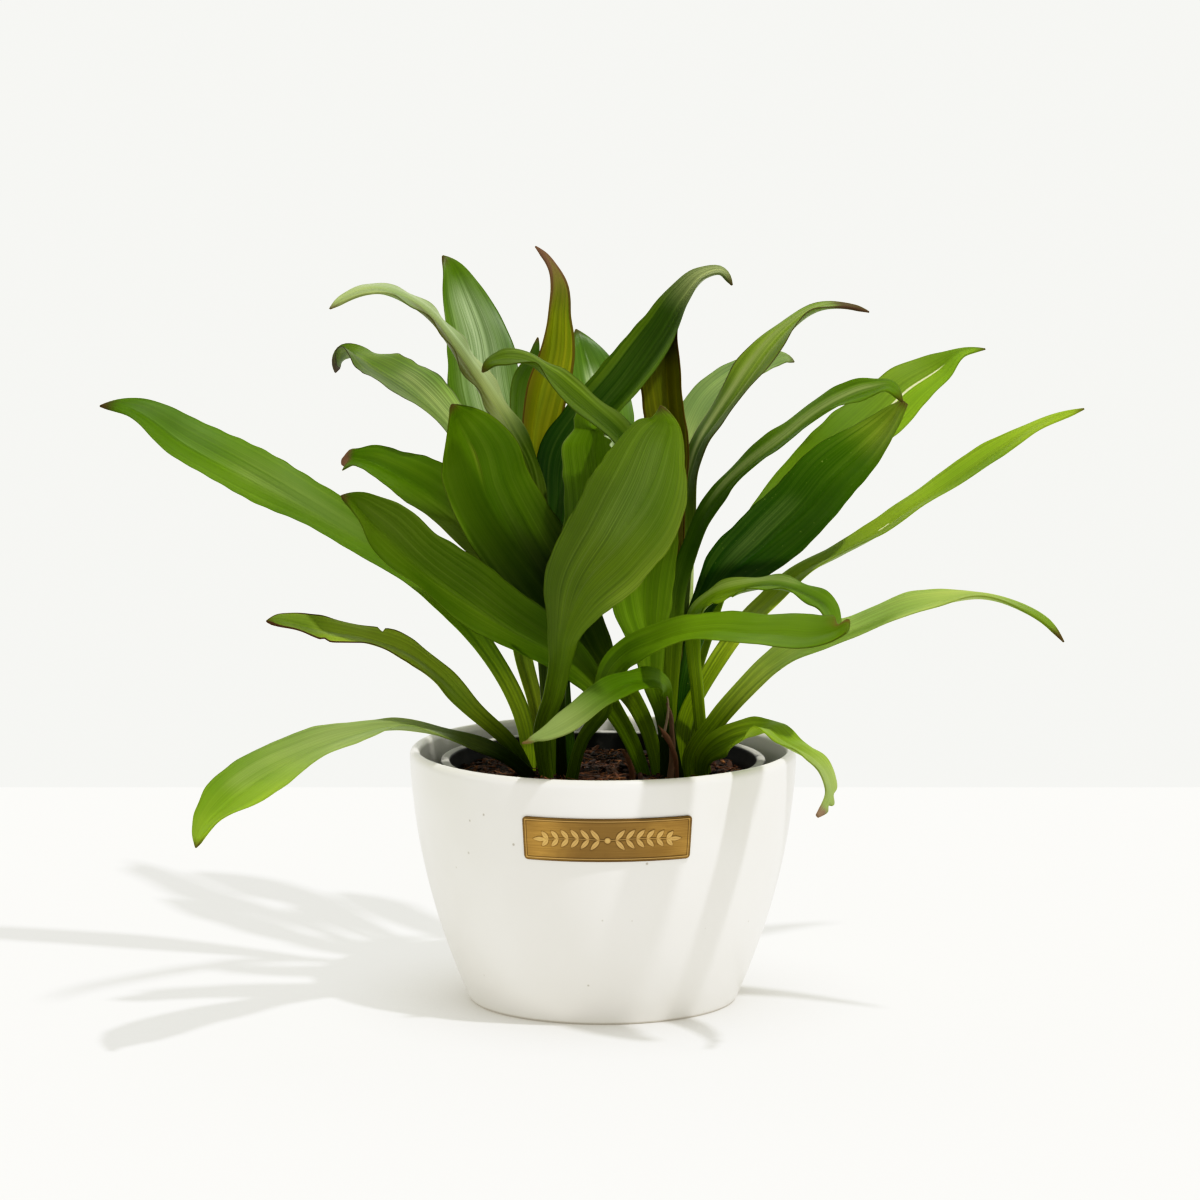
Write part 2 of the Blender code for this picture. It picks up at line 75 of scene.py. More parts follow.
# %% Rings to a closed skin
def closed_skin(rings):
    """Vertices, quads and end triangles from rings of points (ring, place round it, xyz).

    A middle point closes each end. The signed volume is a sixth of the sum, over the triangles, of
    a . (b x c). Where it comes out negative the faces point inwards, so every face is turned round.
    """
    count, around, _ = rings.shape
    ring, place = np.meshgrid(np.arange(count - 1), np.arange(around), indexing="ij")
    after = (place + 1) % around
    quads = np.stack([ring * around + place, ring * around + after, (ring + 1) * around + after,
                      (ring + 1) * around + place], -1).reshape(-1, 4)
    place, after, last = np.arange(around), (np.arange(around) + 1) % around, (count - 1) * around
    first_fan = np.stack([np.full(around, count * around), after, place], -1)
    last_fan = np.stack([np.full(around, count * around + 1), last + place, last + after], -1)
    triangles = np.vstack([first_fan, last_fan])
    vertices = np.vstack([rings.reshape(-1, 3), rings[0].mean(0), rings[-1].mean(0)])
    pieces = np.vstack([quads[:, :3], quads[:, [0, 2, 3]], triangles])
    a, b, c = (vertices[pieces[:, i]] for i in range(3))
    if (a * np.cross(b, c)).sum() < 0:
        quads, triangles = quads[:, ::-1], triangles[:, ::-1]
    return vertices, quads, triangles


def with_ends(values):
    """A value for each ring point, and one more for each end point: the mean of its ring."""
    return np.concatenate([values.reshape(-1), [values[0].mean()], [values[-1].mean()]])


# %% Arrays to an object
def new_piece(name, skins, finish, replaces=(), values=None):
    """An object from closed skins, riding on the one body; values holds each attribute's number by vertex."""
    offsets = np.cumsum([0] + [len(skin[0]) for skin in skins])
    faces = []
    for (_, quads, triangles), offset in zip(skins, offsets):
        faces += (quads + offset).tolist() + (triangles + offset).tolist()
    mesh = bpy.data.meshes.new(name)
    mesh.from_pydata(np.vstack([skin[0] for skin in skins]).tolist(), [], faces)
    for key, numbers in (values or {}).items():
        kind, field = ("FLOAT_VECTOR", "vector") if numbers.ndim == 2 else ("FLOAT", "value")
        mesh.attributes.new(key, kind, "POINT").data.foreach_set(field, numbers.astype(np.float32).ravel())
    mesh.shade_smooth()
    mesh.materials.append(finish)
    piece = bpy.data.objects.new(name, mesh)
    bpy.context.scene.collection.objects.link(piece)
    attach(piece, "root")
    if replaces:
        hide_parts(*replaces)
    return piece


# %% [markdown]
# ## Writing shaders as sums
# A finish is a graph of nodes. Wrapping a socket in a small class lets Python's own operators add the Math
# nodes, so a mask reads like the formula that it is. Colours never pass through a Math node: they go through
# Mix.

# %% The shader helper
class Wire:
    """One output of a shader node. Arithmetic on wires and numbers adds Math nodes."""

    def __init__(self, finish, socket):
        self.finish, self.socket = finish, socket

    def maths(self, operation, *values):
        return self.finish.node("ShaderNodeMath", {"operation": operation}, dict(enumerate(values)))

    def __add__(self, other): return self.maths("ADD", self, other)
    def __radd__(self, other): return self.maths("ADD", other, self)
    def __sub__(self, other): return self.maths("SUBTRACT", self, other)
    def __rsub__(self, other): return self.maths("SUBTRACT", other, self)
    def __mul__(self, other): return self.maths("MULTIPLY", self, other)
    def __rmul__(self, other): return self.maths("MULTIPLY", other, self)
    def __abs__(self): return self.maths("ABSOLUTE", self)
    def at_least(self, other): return self.maths("MAXIMUM", self, other)
    def at_most(self, other): return self.maths("MINIMUM", self, other)

    def ramp(self, start, end):
        """0 before start, 1 after end, and a smooth step between; end may be lower than start."""
        if start > end:
            return 1 - self.ramp(end, start)
        return self.finish.node("ShaderNodeMapRange", {"interpolation_type": "SMOOTHSTEP"},
                                {"Value": self, "From Min": start, "From Max": end})


class Finish:
    """A material, or the world's light, being made one node at a time."""

    def __init__(self, name, kind="materials"):
        self.material = getattr(bpy.data, kind).new(name)
        self.material.use_nodes = True
        self.tree = self.material.node_tree
        self.tree.nodes.clear()

    def node(self, kind, settings=None, sockets=None, out=0):
        """A node of this type: its settings first, then values or wires for its sockets.

        It gives the output numbered out, or a list of outputs where out is a list of numbers.
        """
        node = self.tree.nodes.new(kind)
        for key, value in (settings or {}).items():
            if key == "stops":
                ramp = node.color_ramp.elements
                for i, (position, colour) in enumerate(value):
                    stop = ramp[i] if i < 2 else ramp.new(position)
                    stop.position, stop.color = position, (*colour, 1)
            else:
                setattr(node, key, value)
        for key, value in (sockets or {}).items():
            socket = node.inputs[key]
            if isinstance(value, Wire):
                self.tree.links.new(value.socket, socket)
            else:
                flat = isinstance(value, tuple) and socket.type == "RGBA" and len(value) == 3
                socket.default_value = (*value, 1) if flat else value
        if isinstance(out, (list, tuple)):
            return [Wire(self, node.outputs[i]) for i in out]
        return Wire(self, node.outputs[out])

    def mix(self, factor, a, b, blend="MIX"):
        """Colour a turning into colour b as factor goes from 0 to 1."""
        settings = {"data_type": "RGBA", "blend_type": blend}
        return self.node("ShaderNodeMix", settings, {0: factor, 6: a, 7: b}, out=2)

    def times(self, a, b):
        """Colour a multiplied by colour b, part by part."""
        return self.mix(1.0, a, b, "MULTIPLY")

    def number(self, name):
        """The piece's own attribute of this name, where it holds one number a point."""
        return self.node("ShaderNodeAttribute", {"attribute_name": name}, out=2)

    def numbers(self, name):
        """The three parts of the piece's own attribute of this name, where it holds a vector a point."""
        return self.parts(self.node("ShaderNodeAttribute", {"attribute_name": name}, out=1))

    def parts(self, vector):
        return self.node("ShaderNodeSeparateXYZ", sockets={0: vector}, out=(0, 1, 2))

    def vector(self, x, y, z):
        return self.node("ShaderNodeCombineXYZ", sockets={0: x, 1: y, 2: z})

    def place(self):
        """Where a point is on the object, in metres."""
        return self.node("ShaderNodeTexCoord", out=3)

    def noise(self, vector, scale, detail=2.0, roughness=0.5):
        return self.node("ShaderNodeTexNoise", sockets={
            "Vector": vector, "Scale": scale, "Detail": detail, "Roughness": roughness})

    def bump(self, height, distance, strength=1.0):
        """A height between 0 and 1 made into a normal; distance in metres is how deep it seems."""
        return self.node("ShaderNodeBump", sockets={
            "Height": height, "Distance": distance, "Strength": strength})

    def surface(self, **sockets):
        """A Principled shader; socket names are written with _ for spaces."""
        return self.node("ShaderNodeBsdfPrincipled",
                         sockets={key.replace("_", " "): value for key, value in sockets.items()})

    def done(self, shader, output="ShaderNodeOutputMaterial"):
        self.node(output, sockets={0: shader}, out=())
        return self.material


# %% [markdown]
# ## The ceramic pot
# The real pot is slip-cast: even walls, a softly rounded lip, and sides that swell out from a narrow foot. A
# turned surface is exactly that, so its outline is one line of points and the rest is a turn about Z. The CAD
# outline gives the points. Here they are joined by a smooth curve and turned in many more steps.

# %% The pot's outline
POT_WALL = 4.8 * MM
POT_FLOOR = 6 * MM
POT_COVE = 9 * MM  # radius of the rounding between the inside floor and the wall
POT_STEPS = 224
LIP_Z = 113 * MM  # the wall ends and the rounded lip begins
LIP_RISE = 3.4 * MM
FOOT_Z = 1.2 * MM  # the wall ends and the rounded foot begins
POT_OUTER = np.array([  # height and radius, millimetres
    (113, 89.0), (101, 88.2), (90, 87.0), (79, 85.5), (67, 83.3), (56, 80.8), (45, 77.9),
    (34, 74.6), (22, 70.4), (11, 66.2), (5, 63.6), (1.2, 61.9),
])[::-1] * MM
FOOT_RADIUS = 60.6 * MM


def smooth_through(knots, values, at):
    """A cubic curve through the values at these knots; the slope at each comes from both its neighbours."""
    slopes = np.gradient(values, knots)
    i = np.clip(np.searchsorted(knots, at) - 1, 0, len(knots) - 2)
    step = knots[i + 1] - knots[i]
    s = (at - knots[i]) / step
    return ((2 * s**3 - 3 * s**2 + 1) * values[i] + (s**3 - 2 * s**2 + s) * step * slopes[i]
            + (3 * s**2 - 2 * s**3) * values[i + 1] + (s**3 - s**2) * step * slopes[i + 1])


def wall_radius(z):
    """Outer radius of the ceramic pot at height z."""
    return smooth_through(POT_OUTER[:, 0], POT_OUTER[:, 1], np.asarray(z, float))


def turned_rings(profile, steps):
    """Rings about Z: a point (radius, z) goes to (radius cos t, radius sin t, z) for even turns t."""
    turn = np.arange(steps) / steps * 2 * np.pi
    radius, z = profile[:, 0, None], profile[:, 1, None]
    return np.stack([radius * np.cos(turn), radius * np.sin(turn), z + 0 * turn], -1)


def arc(middle, across, up, start, end, count):
    """Points on part of an ellipse: middle + (across cos t, up sin t), for t from start to end in degrees."""
    t = np.radians(np.linspace(start, end, count))
    return np.stack([middle[0] + across * np.cos(t), middle[1] + up * np.sin(t)], -1)


def pot_profile():
    """The inside floor and wall going up, the lip over the top, the outer wall going down, and the foot."""
    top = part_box("ceramic_pot")[1].z
    inner_z = np.linspace(POT_FLOOR + POT_COVE, LIP_Z - 0.5 * MM, 36)
    inner = np.stack([wall_radius(inner_z) - POT_WALL, inner_z], -1)
    cove = arc((inner[0, 0] - POT_COVE, POT_FLOOR + POT_COVE), POT_COVE, POT_COVE, -90, 0, 9)[:-1]
    lip = arc((wall_radius(LIP_Z) - POT_WALL / 2, top - LIP_RISE), POT_WALL / 2, LIP_RISE, 180, 0, 17)
    outer_z = np.linspace(LIP_Z - 0.4 * MM, FOOT_Z, 64)
    outer = np.stack([wall_radius(outer_z), outer_z], -1)
    rounding = [(61.5 * MM, 0.5 * MM), (61.1 * MM, 0.15 * MM)]
    foot = np.array(rounding + [(FOOT_RADIUS, 0), (50 * MM, 0), (2 * MM, 0)])
    floor = np.array([(2 * MM, POT_FLOOR), (30 * MM, POT_FLOOR)])
    return np.vstack([floor, cove, inner, lip, outer, foot])


# %% The glaze
def glaze():
    """Warm white glaze: faint clouding and iron specks, thinner and creamier where it turns over the lip."""
    f = Finish("glaze")
    place = f.place()
    z = f.parts(place)[2]
    cloud = f.noise(place, 14, 3)
    fine = f.noise(place, 260, 2)
    colour = f.mix(cloud.ramp(0.3, 0.7), (0.780, 0.755, 0.710), (0.822, 0.800, 0.758))
    lip = z.ramp(114.2 * MM, 116.2 * MM)
    colour = f.mix(lip * (0.35 + 0.45 * fine), colour, (0.75, 0.71, 0.61))
    foot = z.ramp(1.6 * MM, 0.4 * MM)
    colour = f.mix(foot * 0.7, colour, (0.42, 0.38, 0.31))
    spread = {"Vector": place, "Scale": 150.0, "Randomness": 1.0}
    cells = f.node("ShaderNodeTexVoronoi", sockets=spread, out=(0, 1))
    chosen = f.node("ShaderNodeSeparateColor", sockets={0: cells[1]})
    specks = cells[0].ramp(0.13, 0.05) * chosen.ramp(0.90, 0.93)
    colour = f.mix(specks * 0.6, colour, (0.24, 0.19, 0.13))
    height = cloud * 0.8 + fine * 0.12 - specks * 0.3
    roughness = 0.30 + 0.12 * f.noise(place, 40, 3)
    return f.done(f.surface(
        Base_Color=colour, Roughness=roughness, Normal=f.bump(height, 0.5 * MM, 0.5),
        IOR=1.5, Coat_Weight=0.25, Coat_Roughness=0.12))


pot_skin = closed_skin(turned_rings(pot_profile(), POT_STEPS))
pot = new_piece("glazed_pot", [pot_skin], glaze(), ["ceramic_pot"])
print(pot.name, len(pot.data.vertices), "points")

# %% [markdown]
# ## The nursery pot
# Growers' pots are blown or moulded from thin black plastic, with a rolled rim. Turned again, with a rim
# rounded over, and a finish that paints a pale highlight along the top of the rim, found by its height.

# %% The plastic pot
LINER_RIM_RADIUS = 75 * MM
LINER_RIM_Z = 112 * MM
LINER_BASE_RADIUS = 52 * MM
LINER_WALL = 1.6 * MM
LINER_BASE_Z = 6.3 * MM
LINER_STEPS = 160
LINER_SKIRT = 4 * MM  # height of the rim with the short skirt under it
LINER_RIM_STEP = 2.5 * MM  # how far the rim stands out past the top of the tapered wall


def liner_radius(z):
    """Outer radius of the nursery pot's tapered wall at height z."""
    share = (z - LINER_BASE_Z) / (LINER_RIM_Z - LINER_BASE_Z)
    return LINER_BASE_RADIUS + share * (LINER_RIM_RADIUS - LINER_RIM_STEP - LINER_BASE_RADIUS)


def liner_profile():
    """The inside going up, a rolled rim, a short skirt under it, and the outside going down."""
    skirt = LINER_RIM_Z - LINER_SKIRT
    inner_z = np.linspace(LINER_BASE_Z + 3 * MM, LINER_RIM_Z - 2.2 * MM, 30)
    inner = np.stack([liner_radius(inner_z) - LINER_WALL, inner_z], -1)
    middle = (LINER_RIM_RADIUS + inner[-1, 0]) / 2
    rim = arc((middle, LINER_RIM_Z - 1.3 * MM), LINER_RIM_RADIUS - middle, 1.3 * MM, 175, 5, 13)
    under = np.array([
        (LINER_RIM_RADIUS, LINER_RIM_Z - 1.8 * MM), (LINER_RIM_RADIUS, skirt),
        (LINER_RIM_RADIUS - 0.5 * MM, skirt - 0.3 * MM), (liner_radius(skirt) + 0.1 * MM, skirt - 0.4 * MM),
    ])
    outer_z = np.linspace(skirt - 1 * MM, LINER_BASE_Z + 1 * MM, 24)
    outer = np.stack([liner_radius(outer_z), outer_z], -1)
    base = np.array([(LINER_BASE_RADIUS - 0.8 * MM, LINER_BASE_Z), (2 * MM, LINER_BASE_Z)])
    floor_z = LINER_BASE_Z + LINER_WALL
    floor = np.array([(2 * MM, floor_z), (LINER_BASE_RADIUS - 3 * MM, floor_z)])
    return np.vstack([floor, inner, rim, under, outer, base])


def plastic_with_painted_rim_highlight():
    """Black plastic with a painted highlight along the top of its rim: pale grey, in patches."""
    f = Finish("plastic_with_painted_rim_highlight")
    place = f.place()
    z = f.parts(place)[2]
    patch = f.noise(place, 60, 4, 0.65)
    # painted highlight: a pale grey band along the top of the rim, broken into patches
    painted_rim_highlight = z.ramp(LINER_RIM_Z - 0.9 * MM, LINER_RIM_Z - 0.3 * MM) * patch.ramp(0.22, 0.42)
    dust = f.noise(place, 320, 3).ramp(0.55, 0.75) * 0.25
    colour = f.mix(painted_rim_highlight, f.mix(dust, (0.012, 0.012, 0.011), (0.07, 0.062, 0.05)), (0.40, 0.39, 0.36))
    return f.done(f.surface(Base_Color=colour, Roughness=0.38 + 0.35 * painted_rim_highlight + 0.15 * patch,
                            Specular_IOR_Level=0.2, Normal=f.bump(patch, 0.15 * MM)))


liner_skin = closed_skin(turned_rings(liner_profile(), LINER_STEPS))
liner = new_piece("grower_pot", [liner_skin], plastic_with_painted_rim_highlight(), ["nursery_pot"])
print(liner.name, len(liner.data.vertices), "points")

# %% [markdown]
# ## Smooth random numbers
# Soil, chips and leaf edges need unevenness that is the same on every run. A sum of sine waves in seeded
# directions is smooth, costs one array expression, and has no seams.

# %% Waves
def waves(points, size, seed, count=14):
    """A smooth random field: the sum of count sines along seeded directions, over the square root of count.

    The waves are 0.7 to 1.4 times size long, and most results lie between -1 and 1.
    """
    rng = np.random.default_rng(seed)
    directions = rng.normal(size=(count, points.shape[-1]))
    directions *= rng.uniform(0.7, 1.5, (count, 1)) / np.linalg.norm(directions, axis=1, keepdims=True)
    phase = rng.uniform(0, 2 * np.pi, count)
    return np.sin(points @ directions.T * (2 * np.pi / size) + phase).sum(-1) / math.sqrt(count)


def smoothstep(value, start, end):
    """0 before start, 1 after end, and 3t^2 - 2t^3 between."""
    t = np.clip((np.asarray(value, float) - start) / (end - start), 0, 1)
    return t * t * (3 - 2 * t)


# %% [markdown]
# ## The soil
# Potting mix is dark, damp and lumpy: peat with composted bark and a few pale fibres. The bed is a turned
# shape whose top is pushed up and down by waves. The bark is 900 small, broken chips, and the fibres are thin
# bent tubes, each with only a few dozen faces.

# %% The bed of soil
SOIL_TOP_Z = 105 * MM
SOIL_EDGE_Z = 102 * MM
SOIL_FLAT_RADIUS = 52 * MM
SOIL_RINGS = 110  # from the middle out to the edge
SOIL_STEPS = 300
SWELL_SEED, CRUMB_SEED, CRUMBLET_SEED = 20, 21, 22


def soil_level(radius):
    """Mean height of the soil: flat in the middle and a little lower at the nursery pot's wall."""
    return np.interp(radius, [0, SOIL_FLAT_RADIUS, 72 * MM], [SOIL_TOP_Z, SOIL_TOP_Z, SOIL_EDGE_Z])


def lumps(x, y):
    """How far the soil stands above or below its mean height at (x, y)."""
    spot = np.stack([x, y], -1)
    crumbs = np.abs(waves(spot, 5 * MM, CRUMB_SEED, 24)) * 0.9 * MM
    crumbs = crumbs + np.abs(waves(spot, 2.2 * MM, CRUMBLET_SEED, 24)) * 0.45 * MM
    return waves(spot, 38 * MM, SWELL_SEED) * 0.9 * MM + crumbs - 0.9 * MM


def soil_skin():
    """The bed turned about Z, with the lumps added to its top, and fading in the last 3 mm to its edge."""
    edge = liner_radius(SOIL_EDGE_Z) - LINER_WALL - 0.25 * MM
    top_radius = edge * np.sqrt(np.linspace(0.0004, 1, SOIL_RINGS))
    base_z = LINER_BASE_Z + LINER_WALL + 0.3 * MM
    down = np.array([(edge - 1 * MM, 96 * MM), (LINER_BASE_RADIUS - 2.4 * MM, base_z), (2 * MM, base_z)])
    profile = np.vstack([np.stack([top_radius, soil_level(top_radius)], -1), down])
    rings = turned_rings(profile, SOIL_STEPS)
    top = rings[:SOIL_RINGS]
    top[..., 2] += lumps(top[..., 0], top[..., 1]) * smoothstep(edge - top_radius, 0, 3 * MM)[:, None]
    return closed_skin(rings)


def damp_soil():
    """Peat: red-brown on the crumbs, near black between them: its own dark brown, with painted shade in the
    hollows.
    """
    f = Finish("damp_soil")
    place = f.place()
    crumbs = f.noise(place, 420, 4, 0.7)
    patch = f.noise(place, 60, 3)
    # painted shade: near black where the noise that also makes the bump is low, in the hollows between crumbs
    colour = f.mix(crumbs.ramp(0.42, 0.72), (0.006, 0.003, 0.001), (0.100, 0.034, 0.010))
    colour = f.mix(patch.ramp(0.45, 0.75) * 0.5, colour, (0.050, 0.017, 0.008))
    return f.done(f.surface(
        Base_Color=colour, Roughness=0.75 + 0.2 * patch, Normal=f.bump(crumbs, 1.2 * MM, 0.9)))


soil = new_piece("soil_bed", [soil_skin()], damp_soil(), ["potting_soil"])
print(soil.name, len(soil.data.vertices), "points")

# %% Bark chips
CHIP_COUNT = 900
CHIP_SEED = 31
CHIP_REACH = 71 * MM  # how far out on the soil chips lie
CHIP_RADIUS = 1.25 * MM
CHIP_LARGEST = 3.6 * MM


def bark_chips():
    """Skins of the chips, and a shade between 0 and 1 for each of their points.

    A chip is three rings of seven points: a squashed, broken ellipsoid, turned any way and laid on the soil.
    """
    rng = np.random.default_rng(CHIP_SEED)
    radius = CHIP_REACH * np.sqrt(rng.uniform(0, 1, CHIP_COUNT))
    turn = rng.uniform(0, 2 * np.pi, CHIP_COUNT)
    where = np.stack([radius * np.cos(turn), radius * np.sin(turn)], -1)
    size = np.minimum(np.exp(rng.normal(0, 0.42, CHIP_COUNT)) * CHIP_RADIUS, CHIP_LARGEST)
    around = np.arange(7) / 7 * 2 * np.pi
    latitude = np.array([-0.95, 0.0, 0.95])
    ball = np.stack([np.cos(latitude)[:, None] * np.cos(around), np.cos(latitude)[:, None] * np.sin(around),
                     np.sin(latitude)[:, None] + 0 * around], -1)
    stretch = np.stack([rng.uniform(0.9, 1.9, CHIP_COUNT), rng.uniform(0.45, 0.9, CHIP_COUNT),
                        rng.uniform(0.18, 0.45, CHIP_COUNT)], -1)
    skins, shades = [], []
    for i in range(CHIP_COUNT):
        chip = ball * stretch[i] * (1 + 0.22 * rng.normal(size=(3, 7, 1)))
        tilt, spin = rng.normal(0, 0.35, 2), rng.uniform(0, 2 * np.pi)
        chip[..., 2] += chip[..., 0] * tilt[0] + chip[..., 1] * tilt[1]
        x = chip[..., 0] * math.cos(spin) - chip[..., 1] * math.sin(spin)
        y = chip[..., 0] * math.sin(spin) + chip[..., 1] * math.cos(spin)
        base = soil_level(radius[i]) + lumps(*where[i]) + 0.25 * size[i]
        skins.append(closed_skin(np.stack([where[i, 0] + x * size[i], where[i, 1] + y * size[i],
                                           base + chip[..., 2] * size[i]], -1)))
        shades.append(np.full(len(skins[-1][0]), rng.uniform()))
    return skins, np.concatenate(shades)


def bark():
    """Composted bark: each chip has its own brown, from near black to tan, with a woody grain."""
    f = Finish("bark")
    place = f.place()
    shade = f.number("shade")
    colour = f.node("ShaderNodeValToRGB", {"stops": [
        (0.0, (0.006, 0.003, 0.001)), (1.0, (0.30, 0.125, 0.035)), (0.45, (0.040, 0.013, 0.004)),
        (0.80, (0.150, 0.050, 0.013))]}, {0: shade})
    grain = f.noise(place, 520, 3)
    colour = f.mix(grain.ramp(0.35, 0.7) * 0.7, colour, (0.012, 0.006, 0.004))
    return f.done(f.surface(Base_Color=colour, Roughness=0.8 + 0.1 * shade, Normal=f.bump(grain, 0.4 * MM)))


chip_skins, chip_shades = bark_chips()
bark_finish = bark()
chips = new_piece("bark_chips", chip_skins, bark_finish, values={"shade": chip_shades})
print(chips.name, len(chips.data.polygons), "faces")

# %% Fibres
FIBRE_COUNT = 260
FIBRE_SEED = 37
FIBRE_REACH = 66 * MM  # how far out on the soil the middles of fibres lie


def unit(vectors):
    """The same directions with a length of 1."""
    return vectors / np.linalg.norm(vectors, axis=-1, keepdims=True)


def tube(line, thickness, around=5):
    """Rings of a round tube: a point of the line plus thickness (cos t side + sin t up) for even turns t."""
    along = unit(np.gradient(line, axis=0))
    side = unit(np.cross(along, [0.03, 0.05, 1.0]))
    up = np.cross(side, along)
    turn = np.arange(around) / around * 2 * np.pi
    ring = np.cos(turn)[:, None] * side[:, None] + np.sin(turn)[:, None] * up[:, None]
    return line[:, None] + thickness * ring


def fibres():
    """Bent strands 6 to 20 mm long that lie on the soil: a straight run plus a sideways cosine."""
    rng = np.random.default_rng(FIBRE_SEED)
    skins, shades = [], []
    at = np.linspace(-0.5, 0.5, 8)[:, None]
    for _ in range(FIBRE_COUNT):
        radius, turn = FIBRE_REACH * math.sqrt(rng.uniform()), rng.uniform(0, 2 * np.pi)
        middle = np.array([radius * math.cos(turn), radius * math.sin(turn)])
        heading, length = rng.uniform(0, 2 * np.pi), rng.uniform(6, 20) * MM
        run = np.array([math.cos(heading), math.sin(heading)])
        bend = rng.uniform(-0.22, 0.22) * length * np.cos(at * rng.uniform(3, 7))
        flat = middle + at * length * run + bend * [-run[1], run[0]]
        flat *= np.minimum(1, 70 * MM / np.linalg.norm(flat, axis=1, keepdims=True))
        ground = soil_level(np.linalg.norm(flat, axis=1)) + lumps(flat[:, 0], flat[:, 1])
        z = ground + rng.uniform(0.6, 1.8) * MM
        line = np.column_stack([flat, z.mean() * 0.5 + z * 0.5])
        skins.append(closed_skin(tube(line, rng.uniform(0.12, 0.30) * MM)))
        shades.append(np.full(len(skins[-1][0]), rng.uniform(0.5, 1)))
    return skins, np.concatenate(shades)


fibre_skins, fibre_shades = fibres()
strands = new_piece("peat_fibres", fibre_skins, bark_finish, values={"shade": fibre_shades})
print(strands.name, len(strands.data.polygons), "faces")

# %% [markdown]
# ## The brass plate
# A thin stamped plate, bent to the pot's wall. The real one carries raised lettering, which is left off: in
# its place is a plain raised border and a small sprig of leaves. The plate is a height map over its face,
# carried round the pot, so the relief is real geometry.

# %% The plate's relief
PLATE_WIDTH = 77 * MM
PLATE_HEIGHT = 20 * MM
PLATE_THICKNESS = 1 * MM
PLATE_CORNER = 2 * MM
PLATE_MIDDLE_Z = 90 * MM
PLATE_TURN = math.radians(1.3)  # the plate sits this far round to +X
PLATE_GAP = 0.3 * MM  # from the pot's wall to the plate's back
PLATE_COLUMNS = 331  # across the flat part of the plate
PLATE_ROWS = 91
STEM_WAVE = 9 * MM
STEM_SWAY = 0.7 * MM


def leaflet(x, y, root, angle, length, width):
    """Height from 0 to 1 of one leaf: a lens along its own line, highest beside a fine midrib groove."""
    dx, dy = x - root[0], y - root[1]
    a, b = dx * math.cos(angle) + dy * math.sin(angle), dy * math.cos(angle) - dx * math.sin(angle)
    share = np.clip(a / length, 0, 1)
    half = width * np.sin(np.pi * share**0.85) + 1e-9
    inside = np.clip(1 - (b / half)**2, 0, 1) * (a > 0) * (a < length)
    return np.sqrt(inside) * (1 - 0.45 * np.exp(-(b / (0.16 * MM))**2))


def sprig(x, y):
    """Height from 0 to 1 of the sprig: a waved stem with leaves in pairs, mirrored about the middle."""
    x = np.abs(x)
    stem = np.exp(-((y - STEM_SWAY * np.sin(x / STEM_WAVE)) / (0.42 * MM))**2) * (x < 29 * MM)
    height = 0.7 * stem
    for i, root in enumerate(np.arange(3.5, 27, 4.6) * MM):
        stem_y = STEM_SWAY * math.sin(root / STEM_WAVE)
        length = (6.6 - 0.35 * i) * MM
        for angle in (0.85, -0.85):
            height = np.maximum(height, leaflet(x, y, (root, stem_y), angle, length, 1.35 * MM))
    height = np.maximum(height, leaflet(x, y, (27.5 * MM, 0), 0.0, 6.5 * MM, 1.3 * MM))
    return np.maximum(height, np.sqrt(np.clip(1 - (np.hypot(x, y) / (1.7 * MM))**2, 0, 1)))


def plate_rings():
    """Rings from left to right, each up the front face and down the back, and the finish's numbers."""
    half_width, half_height = PLATE_WIDTH / 2, PLATE_HEIGHT / 2
    bend = np.linspace(0, np.pi / 2, 7)
    end = half_width - PLATE_CORNER + PLATE_CORNER * np.sin(bend)
    x = np.concatenate([-end[::-1], np.linspace(-end[0], end[0], PLATE_COLUMNS)[1:-1], end])
    into = np.clip(np.abs(x) - (half_width - PLATE_CORNER), 0, PLATE_CORNER)
    top = half_height - (PLATE_CORNER - np.sqrt(np.maximum(PLATE_CORNER**2 - into**2, 1e-12)))
    share = np.linspace(-1, 1, PLATE_ROWS)
    front_y = top[:, None] * share
    front_x = np.broadcast_to(x[:, None], front_y.shape)
    rim = np.minimum(half_width - np.abs(front_x), half_height - np.abs(front_y))
    border = np.exp(-((rim - 1.3 * MM) / (0.42 * MM))**2)
    edge = smoothstep(rim, 0, 0.45 * MM)
    raised = np.maximum(border * 0.8, sprig(front_x, front_y) * smoothstep(rim, 2 * MM, 3 * MM))
    depth = PLATE_THICKNESS * (0.42 + 0.14 * edge + 0.44 * raised)
    back_y = top[:, None] * share[::-1]
    y = np.concatenate([front_y, back_y], 1)
    out = np.concatenate([depth, np.zeros_like(back_y)], 1)
    z = PLATE_MIDDLE_Z + y
    radius = wall_radius(z) + PLATE_GAP + out
    turn = x[:, None] / wall_radius(PLATE_MIDDLE_Z) + PLATE_TURN
    rings = np.stack([radius * np.sin(turn), -radius * np.cos(turn), z], -1)
    marks = np.concatenate([raised, np.zeros_like(back_y)], 1)
    near_edge = np.concatenate([rim, np.zeros_like(back_y)], 1) / MM
    return rings, marks, near_edge


